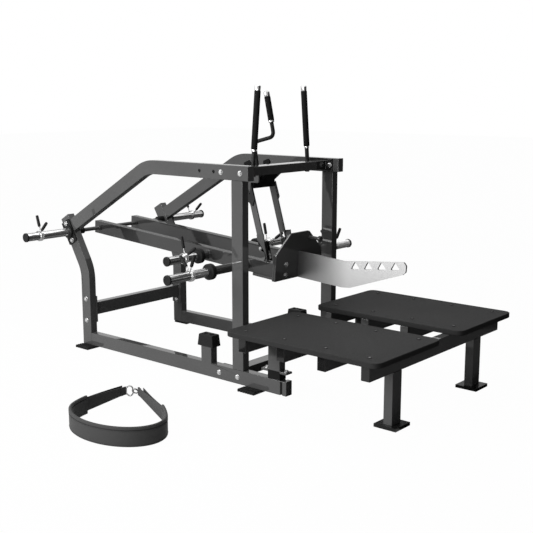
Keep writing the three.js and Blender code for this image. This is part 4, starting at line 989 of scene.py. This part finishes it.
# The faces round the section that lie in the groove get the darker binding as painted shade, the rest and
# the two ends webbing
spans = [(min(a[1], b[1]), max(a[1], b[1])) for a, b in zip(section, section[1:] + section[:1])]
groove_shade_faces = [int(low >= GROOVE_LOW and high <= RIM_LOW) for low, high in spans]
band_materials = groove_shade_faces * (len(band_points) - 1) + [0, 0]
band_piece = add_piece("belt_band_dressed", (verts, faces, band_materials), [WEBBING, BINDING_AND_GROOVE_SHADE], "belt", uvs)
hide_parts("belt_band")


def strap_route(start, end):
    """Along the strap, round the ring's bar and a little way back."""
    direction = (end - start).normalized()
    across = left_of(direction)
    length = (end - start).length
    route = [start + direction * length * i / STRAP_STEPS + across * LAYER_FRONT
             for i in range(-1, STRAP_STEPS)]
    for share in shares(TURN_STEPS):
        angle = pi / 2 - pi * share
        route.append(end - direction * TURN_SETBACK + across * TURN_WIDE * sin(angle)
                     + direction * TURN_LONG * cos(angle))
    return route + [end - direction * (RETURN_FIRST + RETURN_PITCH * i) - across * LAYER_BACK
                    for i in range(RETURN_STEPS)]


def strap_spans(route, start, end):
    """Low and high edge at each point: the strap narrows from the band to the ring."""
    length = (end - start).length
    direction = (end - start).normalized()
    root_low, root_high = STRAP_ROOT
    spans = []
    for point in route:
        share = min(max((point - start).dot(direction) / length, 0), 1)
        spans.append((root_low + (STRAP_BOTTOM - root_low) * share,
                      root_high + (STRAP_BOTTOM + STRAP_HEIGHT - root_high) * share))
    return spans


def tail_route(start, end):
    """The free layer behind a strap, bowed a little."""
    across = left_of((end - start).normalized())
    bow = TAIL_BOW if across.x < 0 else -TAIL_BOW
    return [start.lerp(end, share) + across * bow * sin(pi * share) for share in shares(STRAP_STEPS)]


for label, start, end, tail in (("left", band_points[0], LEFT_END, LEFT_TAIL),
                                ("right", band_points[-1], RIGHT_END, RIGHT_TAIL)):
    for layer, route, tip in (("strap", strap_route(start, end), end),
                              ("tail", tail_route(start, tail), tail)):
        verts, faces, uvs = strip_data(route, STRAP_SECTION, strap_spans(route, start, tip))
        add_piece(f"belt_{layer}_{label}", plain(verts, faces), [WEBBING], "belt", uvs)


# Rows of short stitches that stand just proud of the band's face

STITCH_OFFSET = -BAND_HALF - 0.1
STITCH_SPACING, STITCH_LENGTH, STITCH_RADIUS, STITCH_BULGE = 8, 5.0, 0.7, 0.1
STITCH_ROWS = {"top": GROOVE_LOW - 4, "bottom": 9}


def stitch_row(name, points, height):
    parts = []
    walked, mark = 0.0, STITCH_SPACING / 2
    for a, b in zip(points, points[1:]):
        step = (b - a).length
        along = (b - a).normalized()
        while walked + step > mark:
            middle = a.lerp(b, (mark - walked) / step) + left_of(along) * STITCH_OFFSET
            half = along * STITCH_LENGTH / 2
            spots = ((middle - half, 0), (middle, STITCH_BULGE), (middle + half, 0))
            stitch = [at(*spot, height + rise) for spot, rise in spots]
            parts.append(sweep_data(stitch, STITCH_RADIUS * MM, sides=6))
            mark += STITCH_SPACING
        walked += step
    add_piece(name, merged(*parts), [BINDING_AND_GROOVE_SHADE], "belt")


for label, height in STITCH_ROWS.items():
    stitch_row(f"belt_stitches_{label}", band_points, height)


# Ring and snap link between the strap ends

CLIP_MIDDLE = STRAP_BOTTOM + STRAP_HEIGHT / 2
LINK_WIRE, END_PLAY = 3.7, 1
RING_WIDTH, RING_HEIGHT = 46, 62
BAR_SHARE, ARC_SHARE, BAR_STEPS, ARC_STEPS = 0.72, 0.86, 10, 24
LINK_OVERLAP, SNAP_HEIGHT, SNAP_STEPS, SNAP_TILT = 12, 46, 40, radians(38)
SNAP_WIDTH = (RIGHT_END - LEFT_END).length - 2 * END_PLAY - RING_WIDTH + LINK_OVERLAP
BARREL_RADIUS, BARREL_STEPS = 4.6, range(6, 15)
clip_along = (RIGHT_END - LEFT_END).normalized()


def in_clip(out, height, tilt=0.0):
    """A place in the plane of the ring, or of the link tilted out of it."""
    spot = LEFT_END + clip_along * out - left_of(clip_along) * (height * sin(tilt))
    return at(spot.x, spot.y, CLIP_MIDDLE + height * cos(tilt))


def d_ring_route():
    """A straight bar at the strap and a half round beyond it."""
    wide, high = RING_WIDTH / 2 - LINK_WIRE, RING_HEIGHT / 2 - LINK_WIRE
    start = END_PLAY + LINK_WIRE
    route = [in_clip(start, high * BAR_SHARE * (2 * share - 1)) for share in shares(BAR_STEPS)]
    for share in shares(ARC_STEPS)[1:-1]:
        angle = pi * ARC_SHARE * (1 - 2 * share)
        route.append(in_clip(start + wide + wide * cos(angle), high * sin(angle)))
    return route


def snap_route():
    wide, high = SNAP_WIDTH / 2 - LINK_WIRE, SNAP_HEIGHT / 2 - LINK_WIRE
    middle = END_PLAY + RING_WIDTH - LINK_OVERLAP + SNAP_WIDTH / 2
    turns = [tau * i / SNAP_STEPS for i in range(SNAP_STEPS)]
    return [in_clip(middle + wide * cos(turn), high * sin(turn), SNAP_TILT) for turn in turns]


snap_radii = [(BARREL_RADIUS if i in BARREL_STEPS else LINK_WIRE) * MM for i in range(SNAP_STEPS)]
for label, route, radii in (("ring", d_ring_route(), None), ("snap_link", snap_route(), snap_radii)):
    data = sweep_data(route, LINK_WIRE * MM, sides=14, closed=True, radii=radii)
    piece = add_piece(f"belt_{label}_dressed", data, [LINK_STEEL], "belt")
    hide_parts(f"belt_{label}")


# Studio: white floor and world, cards that the paint and chrome reflect, and soft lamps. In metres

FLOOR_REACH, FLOOR_Z, FLOOR_LEVEL, FLOOR_WHITE = 30.0, -0.0008, 0.45, 0.985
WORLD_LIGHT, WORLD_SEEN = 0.24, 1.0


def seen_or_reflected(owner):
    """1 for what the camera sees, straight or in a reflection, and 0 for light on the object."""
    path = node(owner, "ShaderNodeLightPath")
    return math_node(owner, "MAXIMUM", path.outputs["Is Camera Ray"], path.outputs["Is Glossy Ray"])


def studio_white(name, level, white):
    """White to the camera and to reflections, with a faint share of real shading."""
    material = bpy.data.materials.new(name)
    material.use_nodes = True
    material.node_tree.nodes.clear()
    output = node(material, "ShaderNodeOutputMaterial")
    diffuse = node(material, "ShaderNodeBsdfDiffuse", Color=gray(level))
    glow = node(material, "ShaderNodeEmission", Strength=1.0)
    mix = node(material, "ShaderNodeMixShader")
    link(material, math_node(material, "MULTIPLY", seen_or_reflected(material), white), mix.inputs["Fac"])
    link(material, diffuse.outputs["BSDF"], mix.inputs[1])
    link(material, glow.outputs["Emission"], mix.inputs[2])
    link(material, mix.outputs["Shader"], output.inputs["Surface"])
    return material


def stage_plane(name, corners, material):
    plane = mesh_object(name, corners, [[0, 1, 2, 3]], [material])
    return plane


def level_corners(low, high, z):
    return [(low[0], low[1], z), (high[0], low[1], z), (high[0], high[1], z), (low[0], high[1], z)]


def standing_corners(foot_a, foot_b, low, high):
    """Corners of an upright rectangle between two places on the floor."""
    return [(*foot_a, low), (*foot_b, low), (*foot_b, high), (*foot_a, high)]


def card(name, corners, level):
    """A card that only reflections and light see."""
    made = stage_plane(name, corners, new_material(name, level, roughness=1.0, Specular_IOR_Level=0.0))
    made.visible_camera = False
    made.visible_shadow = False


stage_plane("studio_floor", level_corners((-FLOOR_REACH, -FLOOR_REACH), (FLOOR_REACH, FLOOR_REACH), FLOOR_Z),
            studio_white("floor_white", FLOOR_LEVEL, FLOOR_WHITE))
# Standing cards: two feet, lowest and highest edge, level. Floor cards: two corners, level
card("card_right", standing_corners((3.6, -1.2), (1.0, 3.4), 0, 3.2), 0.05)
card("card_back", standing_corners((1.2, 4.4), (-4.2, 2.6), 1.55, 3.6), 0.42)
card("card_left", standing_corners((-4.3, 2.6), (-5.6, -1.0), 0, 3.6), 0.4)
card("card_streak", standing_corners((-3.2, 3.5), (-0.7, 3.5), 3.7, 4.1), 0.02)
FLOOR_CARD_Z = 0.0004
FLOOR_CARDS = {"under": ((-4.0, -0.08), (1.35, 6.0), 0.07), "front": ((1.35, -1.6), (2.3, 6.0), 0.14),
               "right": ((2.3, -1.6), (7.0, 6.0), 0.03)}
for label, (low, high, level) in FLOOR_CARDS.items():
    card(f"card_floor_{label}", level_corners(low, high, FLOOR_CARD_Z), level)

world = bpy.data.worlds.new("studio_world")
world.use_nodes = True
background = world.node_tree.nodes["Background"]
background.inputs["Color"].default_value = gray(1)
world_level = remap(world, seen_or_reflected(world), WORLD_LIGHT, WORLD_SEEN, 0, 1)
link(world, world_level, background.inputs["Strength"])
scene.world = world


def lamp(name, place, target, size, power):
    """A rectangular lamp that looks at a target."""
    data = bpy.data.lights.new(name, "AREA")
    data.shape = "RECTANGLE"
    data.size, data.size_y = size
    data.energy = power
    made = bpy.data.objects.new(name, data)
    made.location = place
    direction = Vector(target) - Vector(place)
    made.rotation_euler = direction.to_track_quat("-Z", "Y").to_euler()
    scene.collection.objects.link(made)


lamp("key_lamp", (-2.2, -5.2, 3.2), target=(0, 0, 0.5), size=(3.4, 3.0), power=455)
lamp("top_lamp", (-0.4, 0.2, 4.6), target=(0, 0, 0.3), size=(4.0, 3.0), power=170)
lamp("front_lamp", (5.2, 0.6, 0.9), target=(1.0, 0.3, 0.3), size=(1.6, 1.2), power=6)
lamp("side_lamp", (1.2, -5.8, 0.9), target=(1.0, 0.6, 0.3), size=(2.0, 1.4), power=125)
scene.view_settings.view_transform = "Standard"
